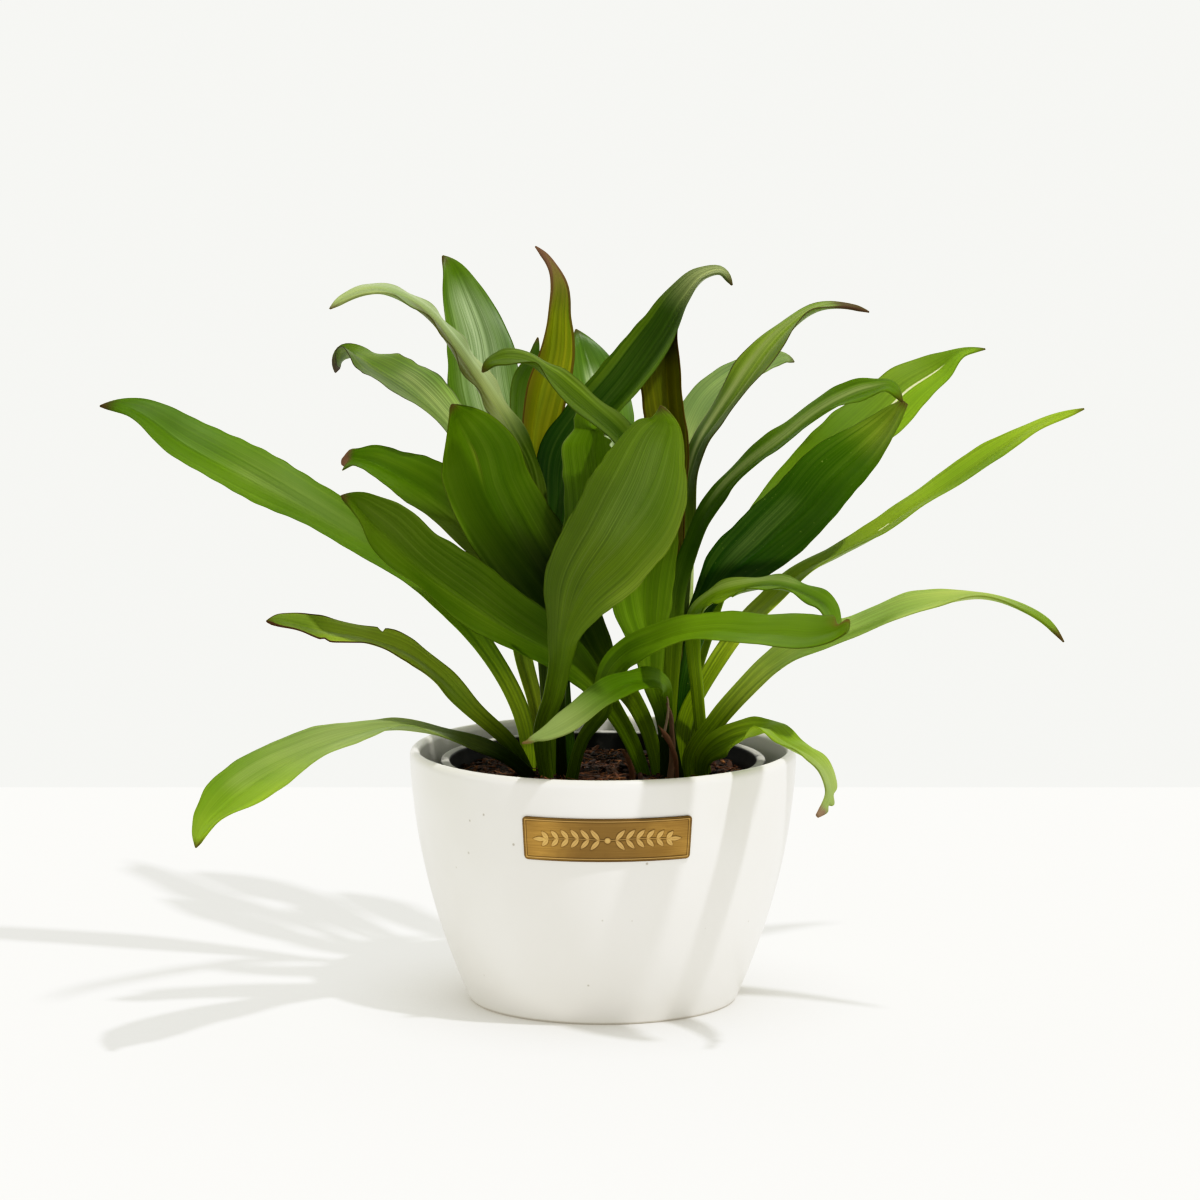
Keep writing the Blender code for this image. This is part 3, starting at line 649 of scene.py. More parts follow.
def aged_brass():
    """Brushed brass, darker in the hollows and at its edges, lighter on the relief; a painted reflection
    darkens its middle.
    """
    f = Finish("aged_brass")
    place = f.place()
    raised, edge = f.number("raised"), f.number("edge")
    x, y, z = f.parts(place)
    grain = f.noise(f.vector(x * 60, y * 60, z * 2600), 1, 3, 0.6)
    patch = f.noise(place, 45, 4, 0.6)
    broad = f.noise(place, 26, 2)
    colour = f.mix(grain.ramp(0.3, 0.75), (0.36, 0.215, 0.056), (0.52, 0.325, 0.092))
    colour = f.mix(broad.ramp(0.35, 0.65) * 0.55, colour, (0.20, 0.112, 0.034))
    colour = f.mix(patch.ramp(0.45, 0.75) * 0.35, colour, (0.15, 0.080, 0.026))
    # painted reflection: the bent plate is darker across its middle
    colour = f.mix(abs(x).ramp(0.032, 0.004) * 0.8, colour, (0.20, 0.120, 0.040))
    colour = f.mix(raised.ramp(0.45, 0.9) * 0.6, colour, (0.74, 0.51, 0.21))
    grime = raised.ramp(0.02, 0.22) * raised.ramp(0.62, 0.36)
    colour = f.mix((edge.ramp(0.9, 0.1) * 0.7).at_least(grime * 0.7), colour, (0.060, 0.032, 0.012))
    return f.done(f.surface(
        Base_Color=colour, Metallic=0.92, Roughness=0.46 - 0.12 * raised + 0.10 * patch,
        Normal=f.bump(grain, 0.06 * MM, 0.7)))


rings, marks, near_edge = plate_rings()
plate = new_piece("stamped_plate", [closed_skin(rings)], aged_brass(), ["brass_plate"],
                  {"raised": with_ends(marks), "edge": with_ends(near_edge)})
print(plate.name, len(plate.data.vertices), "points")

# %% [markdown]
# ## The leaves' lines
# The plant is 29 leaves, each one arching line with a width and a roll at every point. The same list shapes
# the CAD solids. Its numbers came out of a fitting program and were rounded: they were not typed by hand,
# which is a fault in a lesson. A leaf of this kind has no separate stalk: its lower part narrows to a thick
# channel that clasps the cane, then flattens and widens into the blade.

# %% The list of leaves
# name: (slot, heading in degrees, fold in degrees, points from the soil to the tip).
# A point is x, y, z, half width in millimetres, and roll in degrees about the leaf's own line.
# The first point's z is not given: it is worked out from the soil.
LEAVES = {
    "leaf_left_01": ("leaf_bright", 165, 20, [
        (-34, -2, 3, -75), (-35, -1, 123, 4, -75), (-56, 13, 164, 5, -75), (-78, 23, 187, 8, -40),
        (-103, 32, 206, 13, -30), (-129, 41, 221, 17, -25), (-159, 48, 236, 18, -30),
        (-193, 54, 253, 16, -30), (-221, 58, 268, 7, -30), (-235, 60, 268, 0.5, -50),
    ]),
    "leaf_left_02": ("leaf_green", -150, 18, [
        (-33, -8, 3, -110), (-40, -16, 118, 3.5, -110), (-60, -32, 141, 4.5, -105),
        (-74, -41, 158, 7, -60), (-87, -49, 170, 9, -40), (-106, -57, 178, 9, -30),
        (-127, -66, 183, 8, -35), (-144, -73, 187, 5, -30), (-150, -75, 187, 0.5, -40),
    ]),
    "leaf_left_03": ("leaf_bright", -135, 15, [
        (-30, -14, 3, -105), (-46, -30, 119, 3.5, -105), (-67, -40, 129, 5, -35),
        (-91, -57, 138, 10, -5), (-115, -79, 138, 15, -5), (-131, -93, 134, 16, -5),
        (-150, -112, 126, 16.5, -15), (-164, -127, 117, 14.5, -10), (-174, -141, 107, 7, 0),
        (-177, -150, 99, 0.5, -5),
    ]),
    "leaf_left_04": ("leaf_bright", 125, 30, [
        (-28, 4, 3, -35), (-28, 13, 160, 4, -35), (-41, 26, 186, 6, -40), (-63, 57, 215, 15, -25),
        (-83, 88, 228, 17.5, -25), (-99, 108, 234, 14.5, -25), (-115, 132, 236, 9.5, -30),
        (-126, 146, 231, 2, -75),
    ]),
    "leaf_left_05": ("leaf_grey", 115, 25, [
        (-33, 10, 3, -25), (-30, 9, 126, 3.5, -25), (-37, 23, 156, 4.5, -25), (-46, 64, 204, 6, -25),
        (-62, 100, 245, 10, 10), (-78, 121, 262, 14.5, 5), (-93, 146, 271, 15.5, -10),
        (-109, 180, 276, 13.5, -10), (-124, 209, 279, 9.5, -5), (-131, 221, 274, 6.5, -75),
        (-133, 232, 265, 0.5, -140),
    ]),
    "leaf_left_06": ("leaf_grey", -130, 20, [
        (-23, -6, 3, -140), (-27, -4, 163, 3.5, -140), (-30, -8, 214, 5, -140), (-33, -9, 249, 7, -85),
        (-41, -13, 266, 8, -75), (-52, -24, 285, 9, -70), (-64, -44, 305, 8.5, -65),
        (-74, -62, 321, 7.5, -50), (-86, -81, 332, 6.5, -40), (-100, -100, 338, 5.5, -20),
        (-111, -116, 336, 3.5, -10), (-118, -130, 332, 0.5, -30),
    ]),
    "leaf_left_07": ("leaf_glossy", 110, 20, [
        (-20, 15, 3, -20), (-26, 42, 146, 4, -20), (-31, 73, 174, 5, -20), (-40, 107, 208, 11, -25),
        (-49, 135, 238, 17.5, -20), (-56, 149, 265, 20.5, 0), (-61, 164, 293, 17.5, 5),
        (-68, 173, 311, 12.5, 10), (-73, 177, 322, 7, 15), (-78, 179, 328, 0.5, 0),
    ]),
    "leaf_left_08": ("leaf_green", 100, 30, [
        (-15, 10, 3, -10), (-22, 29, 158, 3, -10), (-27, 55, 196, 4.5, -10), (-34, 80, 231, 7, 25),
        (-39, 97, 257, 8, 35), (-38, 107, 275, 7, 40), (-32, 115, 288, 3, 45),
        (-31, 120, 294, 0.5, 15),
    ]),
    "leaf_left_09": ("leaf_bronze", 120, 35, [
        (-20, 2, 3, -30), (-24, 5, 166, 3, -30), (-27, 11, 202, 5, -30), (-29, 18, 234, 10, 10),
        (-29, 22, 257, 13, 5), (-26, 23, 276, 14, 0), (-21, 24, 297, 12, 5), (-20, 23, 314, 9, 10),
        (-20, 22, 328, 6, 5), (-25, 22, 340, 3, 25), (-31, 21, 346, 0.5, -10),
    ]),
    "leaf_left_10": ("leaf_dark", 10, 25, [
        (-14, -2, 3, 80), (-19, -3, 163, 3.5, 80), (-22, 2, 194, 7, 80), (-22, 5, 226, 14, 35),
        (-19, 6, 252, 18, 30), (-7, 7, 270, 18, 30), (8, 8, 287, 17, 30), (24, 9, 308, 15, 30),
        (35, 10, 325, 12, 20), (45, 10, 335, 8, 10), (54, 11, 336, 5, 20), (59, 11, 329, 0.5, 60),
    ]),
    "leaf_left_11": ("leaf_dark", -10, 28, [
        (-19, -11, 3, 100), (-18, -22, 166, 3.5, 100), (-14, -27, 199, 8, 100), (-8, -30, 229, 14, 60),
        (-6, -30, 249, 16, 75), (-7, -27, 262, 15, 70), (-5, -22, 271, 12, 35), (1, -17, 269, 8, 40),
        (8, -15, 261, 0.5, 45),
    ]),
    "leaf_left_12": ("leaf_green", -65, 20, [
        (-25, -18, 3, 155), (-28, -27, 126, 4, 155), (-22, -46, 150, 5, 150), (-19, -58, 168, 6, 155),
        (-18, -66, 180, 9, 130), (-13, -74, 198, 17, 130), (3, -87, 224, 25, 120),
        (15, -97, 245, 26, 120), (23, -105, 267, 19, 120), (27, -112, 280, 9, 120),
        (25, -115, 288, 0.5, 125),
    ]),
    "leaf_left_13": ("leaf_bright", -50, 15, [
        (-15, -17, 3, 130), (-9, -23, 125, 3, 130), (0, -30, 140, 4, 130), (1, -35, 153, 5, 135),
        (9, -42, 166, 9, 75), (20, -54, 174, 11, 50), (34, -76, 183, 12, 35), (48, -94, 188, 13, 25),
        (62, -112, 190, 14, 20), (76, -129, 192, 14.5, 25), (90, -145, 193, 12.5, 30),
        (100, -156, 196, 8, 45), (105, -160, 198, 4, 55),
    ]),
    "leaf_right_01": ("leaf_green", -155, 28, [
        (20, -11, 3, -110), (13, -15, 122, 4, -110), (4, -22, 139, 5, -105), (-7, -30, 155, 8, -85),
        (-19, -40, 169, 14, -60), (-36, -48, 181, 18, -55), (-54, -56, 194, 20, -60),
        (-77, -64, 212, 19, -55), (-96, -72, 229, 16, -65), (-107, -76, 239, 9, -55),
        (-116, -80, 244, 0.5, -65),
    ]),
    "leaf_right_02": ("leaf_green", -160, 22, [
        (26, -9, 3, -105), (19, -7, 130, 4, -105), (12, -9, 143, 5, -100), (0, -11, 156, 9, -90),
        (-11, -15, 173, 15, -90), (-26, -20, 197, 21, -90), (-39, -24, 218, 23, -85),
        (-50, -28, 238, 23, -85), (-57, -32, 258, 20, -90), (-63, -36, 271, 12, -75),
        (-68, -39, 280, 0.5, -70),
    ]),
    "leaf_right_03": ("leaf_bright", -135, 15, [
        (35, -22, 3, -135), (31, -22, 128, 2, -135), (29, -34, 143, 2.5, -140), (27, -53, 155, 5, -75),
        (20, -68, 160, 8, -35), (10, -76, 160, 9, -15), (-2, -82, 154, 9, -10),
        (-12, -86, 147, 8, -15), (-23, -90, 140, 5, -20), (-36, -93, 135, 0.5, -25),
    ]),
    "leaf_right_04": ("leaf_green", -55, 15, [
        (47, -8, 3, 145), (43, -13, 146, 3, 145), (41, -19, 167, 3.5, 150), (41, -30, 183, 4.5, 85),
        (48, -37, 192, 8, 50), (61, -45, 198, 10, 30), (76, -57, 202, 10, 10), (90, -70, 200, 9, 0),
        (99, -81, 195, 7, 0), (102, -89, 189, 5, -15), (104, -95, 184, 0.5, 0),
    ]),
    "leaf_right_05": ("leaf_bright", -70, 18, [
        (46, -17, 3, 145), (45, -25, 114, 4, 145), (56, -42, 128, 8, 80), (66, -57, 135, 9, 35),
        (74, -69, 139, 9, 5), (80, -80, 136, 9, -15), (86, -93, 134, 8, -5), (93, -104, 131, 7, -15),
        (99, -124, 124, 5, -30), (99, -136, 118, 4, -50), (93, -150, 113, 1, -35),
    ]),
    "leaf_right_06": ("leaf_bright", -25, 15, [
        (41, -12, 3, 110), (40, -14, 112, 4, 110), (52, -20, 133, 4.5, 105), (63, -25, 147, 5.5, 70),
        (74, -29, 159, 8, 55), (90, -36, 171, 11, 35), (110, -42, 179, 12, 25),
        (121, -46, 184, 12, 30), (134, -52, 190, 11, 30), (151, -59, 195, 9, 15),
        (169, -67, 198, 7, 0), (186, -77, 194, 5, 0), (197, -84, 188, 3, 10), (204, -90, 180, 0.5, 25),
    ]),
    "leaf_right_07": ("leaf_bright", 25, 18, [
        (37, -8, 3, 65), (39, -4, 134, 4, 65), (45, -1, 145, 4, 65), (60, 8, 167, 5, 30),
        (76, 27, 181, 7, 15), (91, 34, 194, 8, 10), (109, 40, 203, 9, 0), (127, 46, 212, 10, 0),
        (143, 51, 223, 11, 0), (162, 57, 234, 11, 10), (183, 64, 247, 9, 10), (206, 70, 259, 5, 10),
        (226, 75, 265, 0.5, 40),
    ]),
    "leaf_right_08": ("leaf_dark", 25, 20, [
        (38, 0, 3, 65), (37, 2, 143, 3.5, 65), (42, 5, 166, 4.5, 65), (46, 11, 182, 8, 25),
        (56, 15, 195, 14, 35), (74, 21, 210, 18, 40), (93, 27, 227, 19, 35), (105, 32, 240, 18, 35),
        (119, 36, 252, 15, 30), (131, 40, 263, 10, 20), (140, 42, 272, 2, 25),
    ]),
    "leaf_right_09": ("leaf_green", -15, 20, [
        (30, -4, 3, 105), (31, -3, 142, 3.5, 105), (32, -5, 165, 4.5, 105), (35, -7, 196, 4.5, 105),
        (41, -8, 214, 5, 65), (46, -9, 226, 6, 50), (56, -11, 241, 9, 35), (68, -13, 253, 11, 25),
        (79, -15, 262, 12, 20), (94, -18, 274, 13, 25), (107, -22, 282, 12, 20),
        (120, -24, 286, 9, 25), (129, -26, 287, 6, 20), (135, -28, 280, 0.5, 35),
    ]),
    "leaf_right_10": ("leaf_bright", 35, 20, [
        (46, 11, 3, 55), (41, 18, 141, 3.5, 55), (46, 28, 162, 4.5, 55), (56, 41, 191, 7, 25),
        (74, 52, 211, 12, 25), (91, 65, 230, 15, 25), (111, 76, 248, 16, 30), (133, 89, 264, 16, 35),
        (145, 97, 274, 14, 35), (158, 104, 281, 10, 30), (170, 109, 288, 4, 20),
        (182, 115, 289, 0.5, 50),
    ]),
    "leaf_right_11": ("leaf_grey", 70, 22, [
        (34, 18, 3, 20), (38, 34, 161, 3.5, 20), (38, 62, 195, 5, 15), (36, 92, 229, 8, -25),
        (41, 113, 250, 12, -20), (52, 130, 266, 13.5, -5), (66, 144, 275, 11.5, 5),
        (79, 158, 279, 7, 20), (88, 165, 280, 4, 45), (93, 170, 277, 0.5, 95),
    ]),
    "leaf_right_12": ("leaf_grey", 30, 20, [
        (38, 9, 3, 60), (36, 15, 174, 3.5, 60), (38, 23, 210, 4.5, 60), (41, 29, 243, 6, 5),
        (45, 30, 256, 8, -5), (51, 34, 265, 10, 0), (60, 38, 277, 11, 5), (68, 42, 288, 12, 5),
        (77, 46, 299, 11, 5), (85, 49, 307, 10, 0), (95, 52, 314, 8, -5), (106, 56, 316, 5, 10),
        (119, 59, 314, 2, 30), (124, 60, 312, 0.5, 55),
    ]),
    "leaf_right_13": ("leaf_bronze", 105, 35, [
        (36, 4, 3, -15), (34, 7, 175, 3, -15), (32, 9, 217, 8, -50), (30, 10, 253, 13, -45),
        (27, 12, 276, 13, -40), (26, 15, 292, 13, -40), (27, 19, 305, 10, -45), (30, 22, 314, 6, -35),
        (32, 24, 321, 1, -15),
    ]),
    "leaf_right_14": ("leaf_glossy", 105, 22, [
        (27, 7, 3, -15), (29, 24, 163, 3.5, -15), (21, 47, 192, 8, 15), (10, 74, 222, 13, 5),
        (2, 102, 252, 16, 5), (-2, 119, 271, 15.5, 5), (-8, 132, 287, 9, 5), (-13, 140, 296, 0.5, 0),
    ]),
    "leaf_right_15": ("leaf_grey", -145, 20, [
        (28, 2, 3, -125), (30, 0, 167, 3.5, -125), (28, -7, 205, 5, -85), (21, -16, 238, 8, -70),
        (9, -35, 265, 10, -60), (-3, -48, 278, 11, -50), (-13, -52, 287, 11, -50),
        (-22, -53, 295, 10, -45), (-31, -52, 302, 9, -25), (-44, -53, 303, 7, -20),
        (-51, -53, 300, 4, -5), (-54, -53, 296, 0.5, -20),
    ]),
    "leaf_right_16": ("leaf_green", -90, 20, [
        (29, -15, 3, -180), (27, -16, 136, 4, -180), (23, -19, 149, 5, -175), (21, -22, 166, 8, -180),
        (18, -24, 184, 14, -180), (18, -26, 203, 16, -180), (21, -27, 221, 15, -185),
        (27, -27, 237, 8, -185), (29, -27, 248, 0.5, -180),
    ]),
}
print(len(LEAVES), "leaves")

# %% A smooth curve through the points
def curve_through(rows, count):
    """Rows of values at count even steps along a smooth curve through the given rows, and the steps.

    A row starts with x, y and z. Each stretch is a cubic whose slopes at its ends come from the two
    stretches that meet there, each weighted by the other's length.
    """
    lengths = np.linalg.norm(np.diff(rows[:, :3], axis=0), axis=1)
    knots = np.concatenate([[0], np.cumsum(lengths)]) / lengths.sum()
    steps = np.diff(knots)[:, None]
    slopes = np.diff(rows, axis=0) / steps
    tangents = np.empty_like(rows)
    tangents[1:-1] = (slopes[:-1] * steps[1:] + slopes[1:] * steps[:-1]) / (steps[1:] + steps[:-1])
    tangents[0] = 1.5 * slopes[0] - 0.5 * tangents[1]
    tangents[-1] = 1.5 * slopes[-1] - 0.5 * tangents[-2]
    at = np.linspace(0, 1, count)
    i = np.clip(np.searchsorted(knots, at, side="right") - 1, 0, len(knots) - 2)
    step = steps[i]
    s = (at - knots[i])[:, None] / step
    start = (2 * s**3 - 3 * s**2 + 1) * rows[i] + (s**3 - 2 * s**2 + s) * step * tangents[i]
    end = (3 * s**2 - 2 * s**3) * rows[i + 1] + (s**3 - s**2) * step * tangents[i + 1]
    return start + end, at


def leaf_frame(middle, roll, heading):
    """Sideways and upward unit vectors along a leaf: level across its heading, then rolled about its line."""
    along = unit(np.gradient(middle, axis=0))
    level = np.array([-math.sin(heading), math.cos(heading), 0.0])
    side = unit(level - (along @ level)[:, None] * along)
    up = np.cross(along, side)
    cos, sin = np.cos(roll)[:, None], np.sin(roll)[:, None]
    return cos * side + sin * up, cos * up - sin * side


# %% [markdown]
# ## The leaf's surface
# Two parameters make the surface: s runs from the soil to the tip, and v runs from one edge, at -1, to the
# other, at 1. Across the leaf the two halves rise from the midrib in a rounded V and bulge a little. Along
# the edges a slow ripple lifts and drops the margin, and nicks bite into it. A leaf then gets its thickness
# along its own normal, thick in the stalk, thin in the blade and thinnest at the edge, with a rib under the
# middle.

# %% Leaf habits
# ripple and its wavelength in mm, bulge of each half as a share of the half width, and nicks: (where along,
# which edge, how deep as a share of the half width, how long as a share of the length). A negative depth
# sticks out.
USUAL_HABIT = dict(ripple=0.6, wave=55, bulge=0.10, nicks=[])
HABITS = {
    "leaf_left_02": dict(ripple=1.2, wave=42, nicks=[(0.66, -1, 0.28, 0.008), (0.84, 1, 0.18, 0.012)]),
    "leaf_left_03": dict(ripple=0.9, wave=60),
    "leaf_left_04": dict(ripple=0.8, wave=48, nicks=[(0.972, 1, -0.8, 0.018), (0.980, -1, -0.35, 0.018)]),
    "leaf_left_05": dict(ripple=0.9, wave=50),
    "leaf_left_06": dict(ripple=1.4, wave=30),
    "leaf_left_11": dict(nicks=[
        (0.80, -1, 0.35, 0.02), (0.83, -1, 0.25, 0.012), (0.86, -1, 0.45, 0.016)]),
    "leaf_left_13": dict(ripple=0.4, wave=55, nicks=[(0.97, 1, 0.55, 0.03)]),
    "leaf_right_03": dict(ripple=1.0, wave=35, nicks=[(0.96, 1, 0.5, 0.02), (0.985, -1, 0.45, 0.012)]),
    "leaf_right_04": dict(ripple=1.2, wave=26, nicks=[
        (0.60, -1, 0.4, 0.02), (0.66, -1, 0.3, 0.012), (0.55, -1, 0.2, 0.01)]),
    "leaf_right_05": dict(ripple=1.2, wave=30, nicks=[(0.93, 1, 0.8, 0.02), (0.87, 1, 0.4, 0.03)]),
    "leaf_right_06": dict(ripple=1.1, wave=60),
    "leaf_right_07": dict(ripple=0.8, wave=70),
    "leaf_right_09": dict(ripple=1.3, wave=45),
    "leaf_right_12": dict(ripple=1.3, wave=50),
    "leaf_right_15": dict(ripple=0.9, wave=45),
}
print("leaves with habits of their own:", len(HABITS))

# %% Leaf shape
ALONG = 150  # rings along a leaf
ACROSS = 27  # points across each face
ROOT_DEPTH = 3 * MM  # how far under the soil's top a leaf's line starts
STALK_HALF_WIDTH, STALK_THICKNESS = 3.4 * MM, 2.4 * MM
BLADE_HALF_WIDTH, BLADE_THICKNESS = 14 * MM, 0.7 * MM


def leaf_thickness(half_width):
    """Thickness for a half width: the stalk's, then the blade's, and an even change between them."""
    return np.interp(half_width, [STALK_HALF_WIDTH, BLADE_HALF_WIDTH], [STALK_THICKNESS, BLADE_THICKNESS])


def leaf_line(name):
    """The leaf's line: how far along (s), the middle, the half width, and the side and up directions."""
    _, heading, _, points = LEAVES[name]
    (x, y, first_width, first_roll), rest = points[0], points[1:]
    rows = np.array([(x, y, (SOIL_TOP_Z - ROOT_DEPTH) / MM, first_width, first_roll)] + rest, float)
    rows[:, :4] *= MM
    rows[:, 4] = np.radians(rows[:, 4])
    sections, s = curve_through(rows, ALONG)
    middle, width = sections[:, :3], np.maximum(sections[:, 3], 0.3 * MM)
    return s, middle, width, *leaf_frame(middle, sections[:, 4], math.radians(heading))


def leaf_grid(s, length, blade, nicks, seed):
    """Grids of s, of v evened out, and of v drawn in where the edge wavers or a nick bites into it.

    v is spaced more closely towards the edges: 1 - (1 - |v|)^1.15. A nick takes the share
    depth exp(-2 ((s - place) / reach)^2) off its half.
    """
    even = np.linspace(-1, 1, ACROSS)[None]
    even = np.sign(even) * (1 - (1 - np.abs(even))**1.15)
    s_grid, v_grid = np.broadcast_arrays(s[:, None], even)
    wavering = waves(np.stack([s * length, 0 * s], -1), 16 * MM, seed, 8)
    v = v_grid * (1 - 0.035 * blade[:, None] * (1 + wavering)[:, None] * 0.5)
    for place, edge, depth, reach in nicks:
        bite = np.exp(-((s_grid - place) / reach)**2 * 2)
        v = np.where(v * edge > 0, v * (1 - depth * bite), v)
    return s_grid, v_grid, v


def both_faces(upper, lower=None):
    """Numbers for the upper face, and then for the lower one in the order that closes the ring."""
    lower = upper if lower is None else lower
    return np.concatenate([upper, lower[:, ::-1]], 1)


def leaf_skin(name):
    """The leaf as a closed skin, and the numbers that its finish reads.

    middle + width (cos(fold) v side + rise up), where rise = sin(fold) (sqrt(v^2 + r^2) - sqrt(1 + r^2))
    + bulge |v| (1 - |v|), plus the ripple along up. The faces lie half a thickness either side of that, along
    its normal.
    """
    fold = math.radians(LEAVES[name][2])
    habit = {**USUAL_HABIT, **HABITS.get(name, {})}
    seed = sum(map(ord, name)) * 7 + int(name[-2:])
    s, middle, width, side, up = leaf_line(name)
    length = np.linalg.norm(np.diff(middle, axis=0), axis=1).sum()
    blade = smoothstep(width, 3.5 * MM, 9 * MM)
    s_grid, v_grid, v = leaf_grid(s, length, blade, habit["nicks"], seed)

    rounding = (0.75 - 0.60 * blade)[:, None]
    rise = math.sin(fold) * (np.sqrt(v**2 + rounding**2) - np.sqrt(1 + rounding**2))
    rise += habit["bulge"] * blade[:, None] * np.abs(v) * (1 - np.abs(v))
    phase = np.where(v > 0, 0.0, 2.1) + seed
    ripple = habit["ripple"] * MM * (blade * smoothstep(1 - s, 0, 0.12))[:, None] * np.abs(v)**3
    ripple = ripple * np.sin(2 * np.pi * s_grid * length / (habit["wave"] * MM) + phase)
    sheet = middle[:, None] + width[:, None, None] * (math.cos(fold) * v[..., None] * side[:, None]
                                                     + rise[..., None] * up[:, None])
    sheet = sheet + ripple[..., None] * up[:, None]

    normal = np.cross(np.gradient(sheet, axis=0), np.gradient(sheet, axis=1))
    normal /= np.linalg.norm(normal, axis=-1, keepdims=True) + 1e-12
    thick = np.minimum(leaf_thickness(width), width * 1.2)[:, None] * (1 - 0.72 * np.abs(v_grid)**3)
    from_rib = np.abs(v) * width[:, None]
    rib = 0.9 * MM * (blade * (1 - s)**0.8)[:, None] * np.exp(-(from_rib / (1.3 * MM))**2)
    groove = 0.22 * MM * (blade * (1 - s)**0.5)[:, None] * np.exp(-(from_rib / (0.7 * MM))**2)
    upper = sheet + normal * (thick / 2 - groove)[..., None]
    lower = sheet - normal * (thick / 2 + rib)[..., None]
    rings = np.clip(both_faces(upper, lower), *cad_box)  # a leaf's tip keeps inside the CAD model's box

    start = s[np.argmax(width > 5 * MM)]
    blade_s = (s_grid - start) / (1 - start)
    veins = (0.85 * np.abs(v)**1.1 - 0.30 * np.maximum(blade_s, -0.15)) * width.max() / MM * 1.8
    veins = veins + np.where(v > 0, 0, 40.0)
    to_edge = (1 - np.abs(v_grid)) * width[:, None] / MM
    along = s_grid * length / (10 * MM)
    values = {
        "blade": np.stack([with_ends(both_faces(grid)) for grid in (v_grid, s_grid, to_edge)], -1),
        "veins": np.stack([with_ends(both_faces(grid)) for grid in (veins, along, from_rib / MM)], -1),
        "face": with_ends(both_faces(np.ones_like(v), -np.ones_like(v))),
    }
    return closed_skin(rings), values


# %% [markdown]
# ## The leaf's finish
# Every leaf has its own colour, and light and shade are partly painted into that colour too, so one function
# makes them all from a few named colours and strengths. Three attributes steer it: how far across and along
# a point lies, where it lies among the veins, which leave the midrib at a narrow angle, and which face it is
# on. Fine veins and broad stripes are noise stretched along the veins. Light also comes through a leaf, so
# the surface shader is mixed with a Translucent one.

# %% Leaf colours
# Named greens; black and shade are painted shadow, and silver and veil are painted sheen.
GREENS = {
    "black": (0.004, 0.007, 0.0005), "shade": (0.010, 0.020, 0.0004), "bottle": (0.011, 0.047, 0.0003),
    "pine": (0.028, 0.063, 0.0003), "moss": (0.036, 0.062, 0.0006), "ivy": (0.044, 0.078, 0.0003),
    "fern": (0.057, 0.098, 0.0010), "clover": (0.058, 0.128, 0.0006), "meadow": (0.085, 0.155, 0.0010),
    "leaf": (0.085, 0.135, 0.0020), "grass": (0.112, 0.180, 0.0030), "spring": (0.128, 0.220, 0.0050),
    "apple": (0.150, 0.225, 0.010), "pea": (0.215, 0.310, 0.018), "lime": (0.210, 0.275, 0.024),
    "sage": (0.145, 0.210, 0.055), "mist": (0.225, 0.280, 0.095), "silver": (0.330, 0.370, 0.150),
    "veil": (0.420, 0.500, 0.300), "celery": (0.380, 0.460, 0.120), "cream": (0.500, 0.550, 0.220),
    "olive": (0.135, 0.150, 0.003), "gold": (0.300, 0.340, 0.012), "umber": (0.055, 0.050, 0.002),
    "rust": (0.150, 0.065, 0.020),
}
# How each leaf's colour runs: at the stalk, in the middle, and towards the tip. The greens were set to how
# light or dark each part looks where it stands, so they hold painted light and shade besides the leaf's own
# colour.
SHADES = {
    "leaf_left_01": "apple meadow clover", "leaf_left_02": "moss lime lime",
    "leaf_left_03": "shade mist pea", "leaf_left_04": "shade black clover",
    "leaf_left_05": "lime sage leaf", "leaf_left_06": "moss silver mist",
    "leaf_left_07": "moss clover meadow", "leaf_left_08": "pine pine pine",
    "leaf_left_09": "umber olive gold", "leaf_left_10": "pine bottle pine",
    "leaf_left_11": "shade pine meadow", "leaf_left_12": "ivy leaf grass",
    "leaf_left_13": "moss spring meadow", "leaf_right_01": "fern ivy ivy",
    "leaf_right_02": "leaf black meadow", "leaf_right_03": "shade meadow mist",
    "leaf_right_04": "leaf grass meadow", "leaf_right_05": "leaf pea mist",
    "leaf_right_06": "leaf celery apple", "leaf_right_07": "leaf lime pea",
    "leaf_right_08": "bottle bottle clover", "leaf_right_09": "leaf pine meadow",
    "leaf_right_10": "leaf spring pea", "leaf_right_11": "leaf mist sage",
    "leaf_right_12": "ivy ivy apple", "leaf_right_13": "umber umber olive",
    "leaf_right_14": "moss ivy clover", "leaf_right_15": "shade pine fern",
    "leaf_right_16": "shade spring leaf",
}
print(len(GREENS), "named colours for", len(SHADES), "leaves")

# %% Leaf looks
COMMON = dict(
    margin=(0.050, 0.022, 0.006), margin_width=0.30, margin_strength=0.25,
    tip=(0.060, 0.026, 0.008), tip_start=0.975, tip_blend=0.03,
    specks=0.0, streak=0.08, pale=(0.40, 0.50, 0.12), glow=0.18, light=(0.50, 0.78, 0.06),
    rough=0.42, gloss=0.10, shine=0.0, contrast=0.30, ribs=0.20, lines=0.05,
    runs=(0.12, 0.46, 0.52, 0.88), painted_half_light=0.0, bands=(), marks=(),
)
FAMILIES = {
    "leaf_bright": dict(light=(0.62, 0.80, 0.14), glow=0.30, gloss=0.12),
    "leaf_green": dict(),
    "leaf_dark": dict(glow=0.10, rough=0.36),
    "leaf_grey": dict(streak=0.16, gloss=0.25, glow=0.12),
    "leaf_glossy": dict(streak=0.12, gloss=0.15, rough=0.34, shine=0.2, glow=0.15),
    "leaf_bronze": dict(streak=0.30, light=(0.85, 0.70, 0.04), pale=(0.40, 0.40, 0.02), contrast=0.4),
}
PALE_LINE = (0.85, 0.82, 0.55)
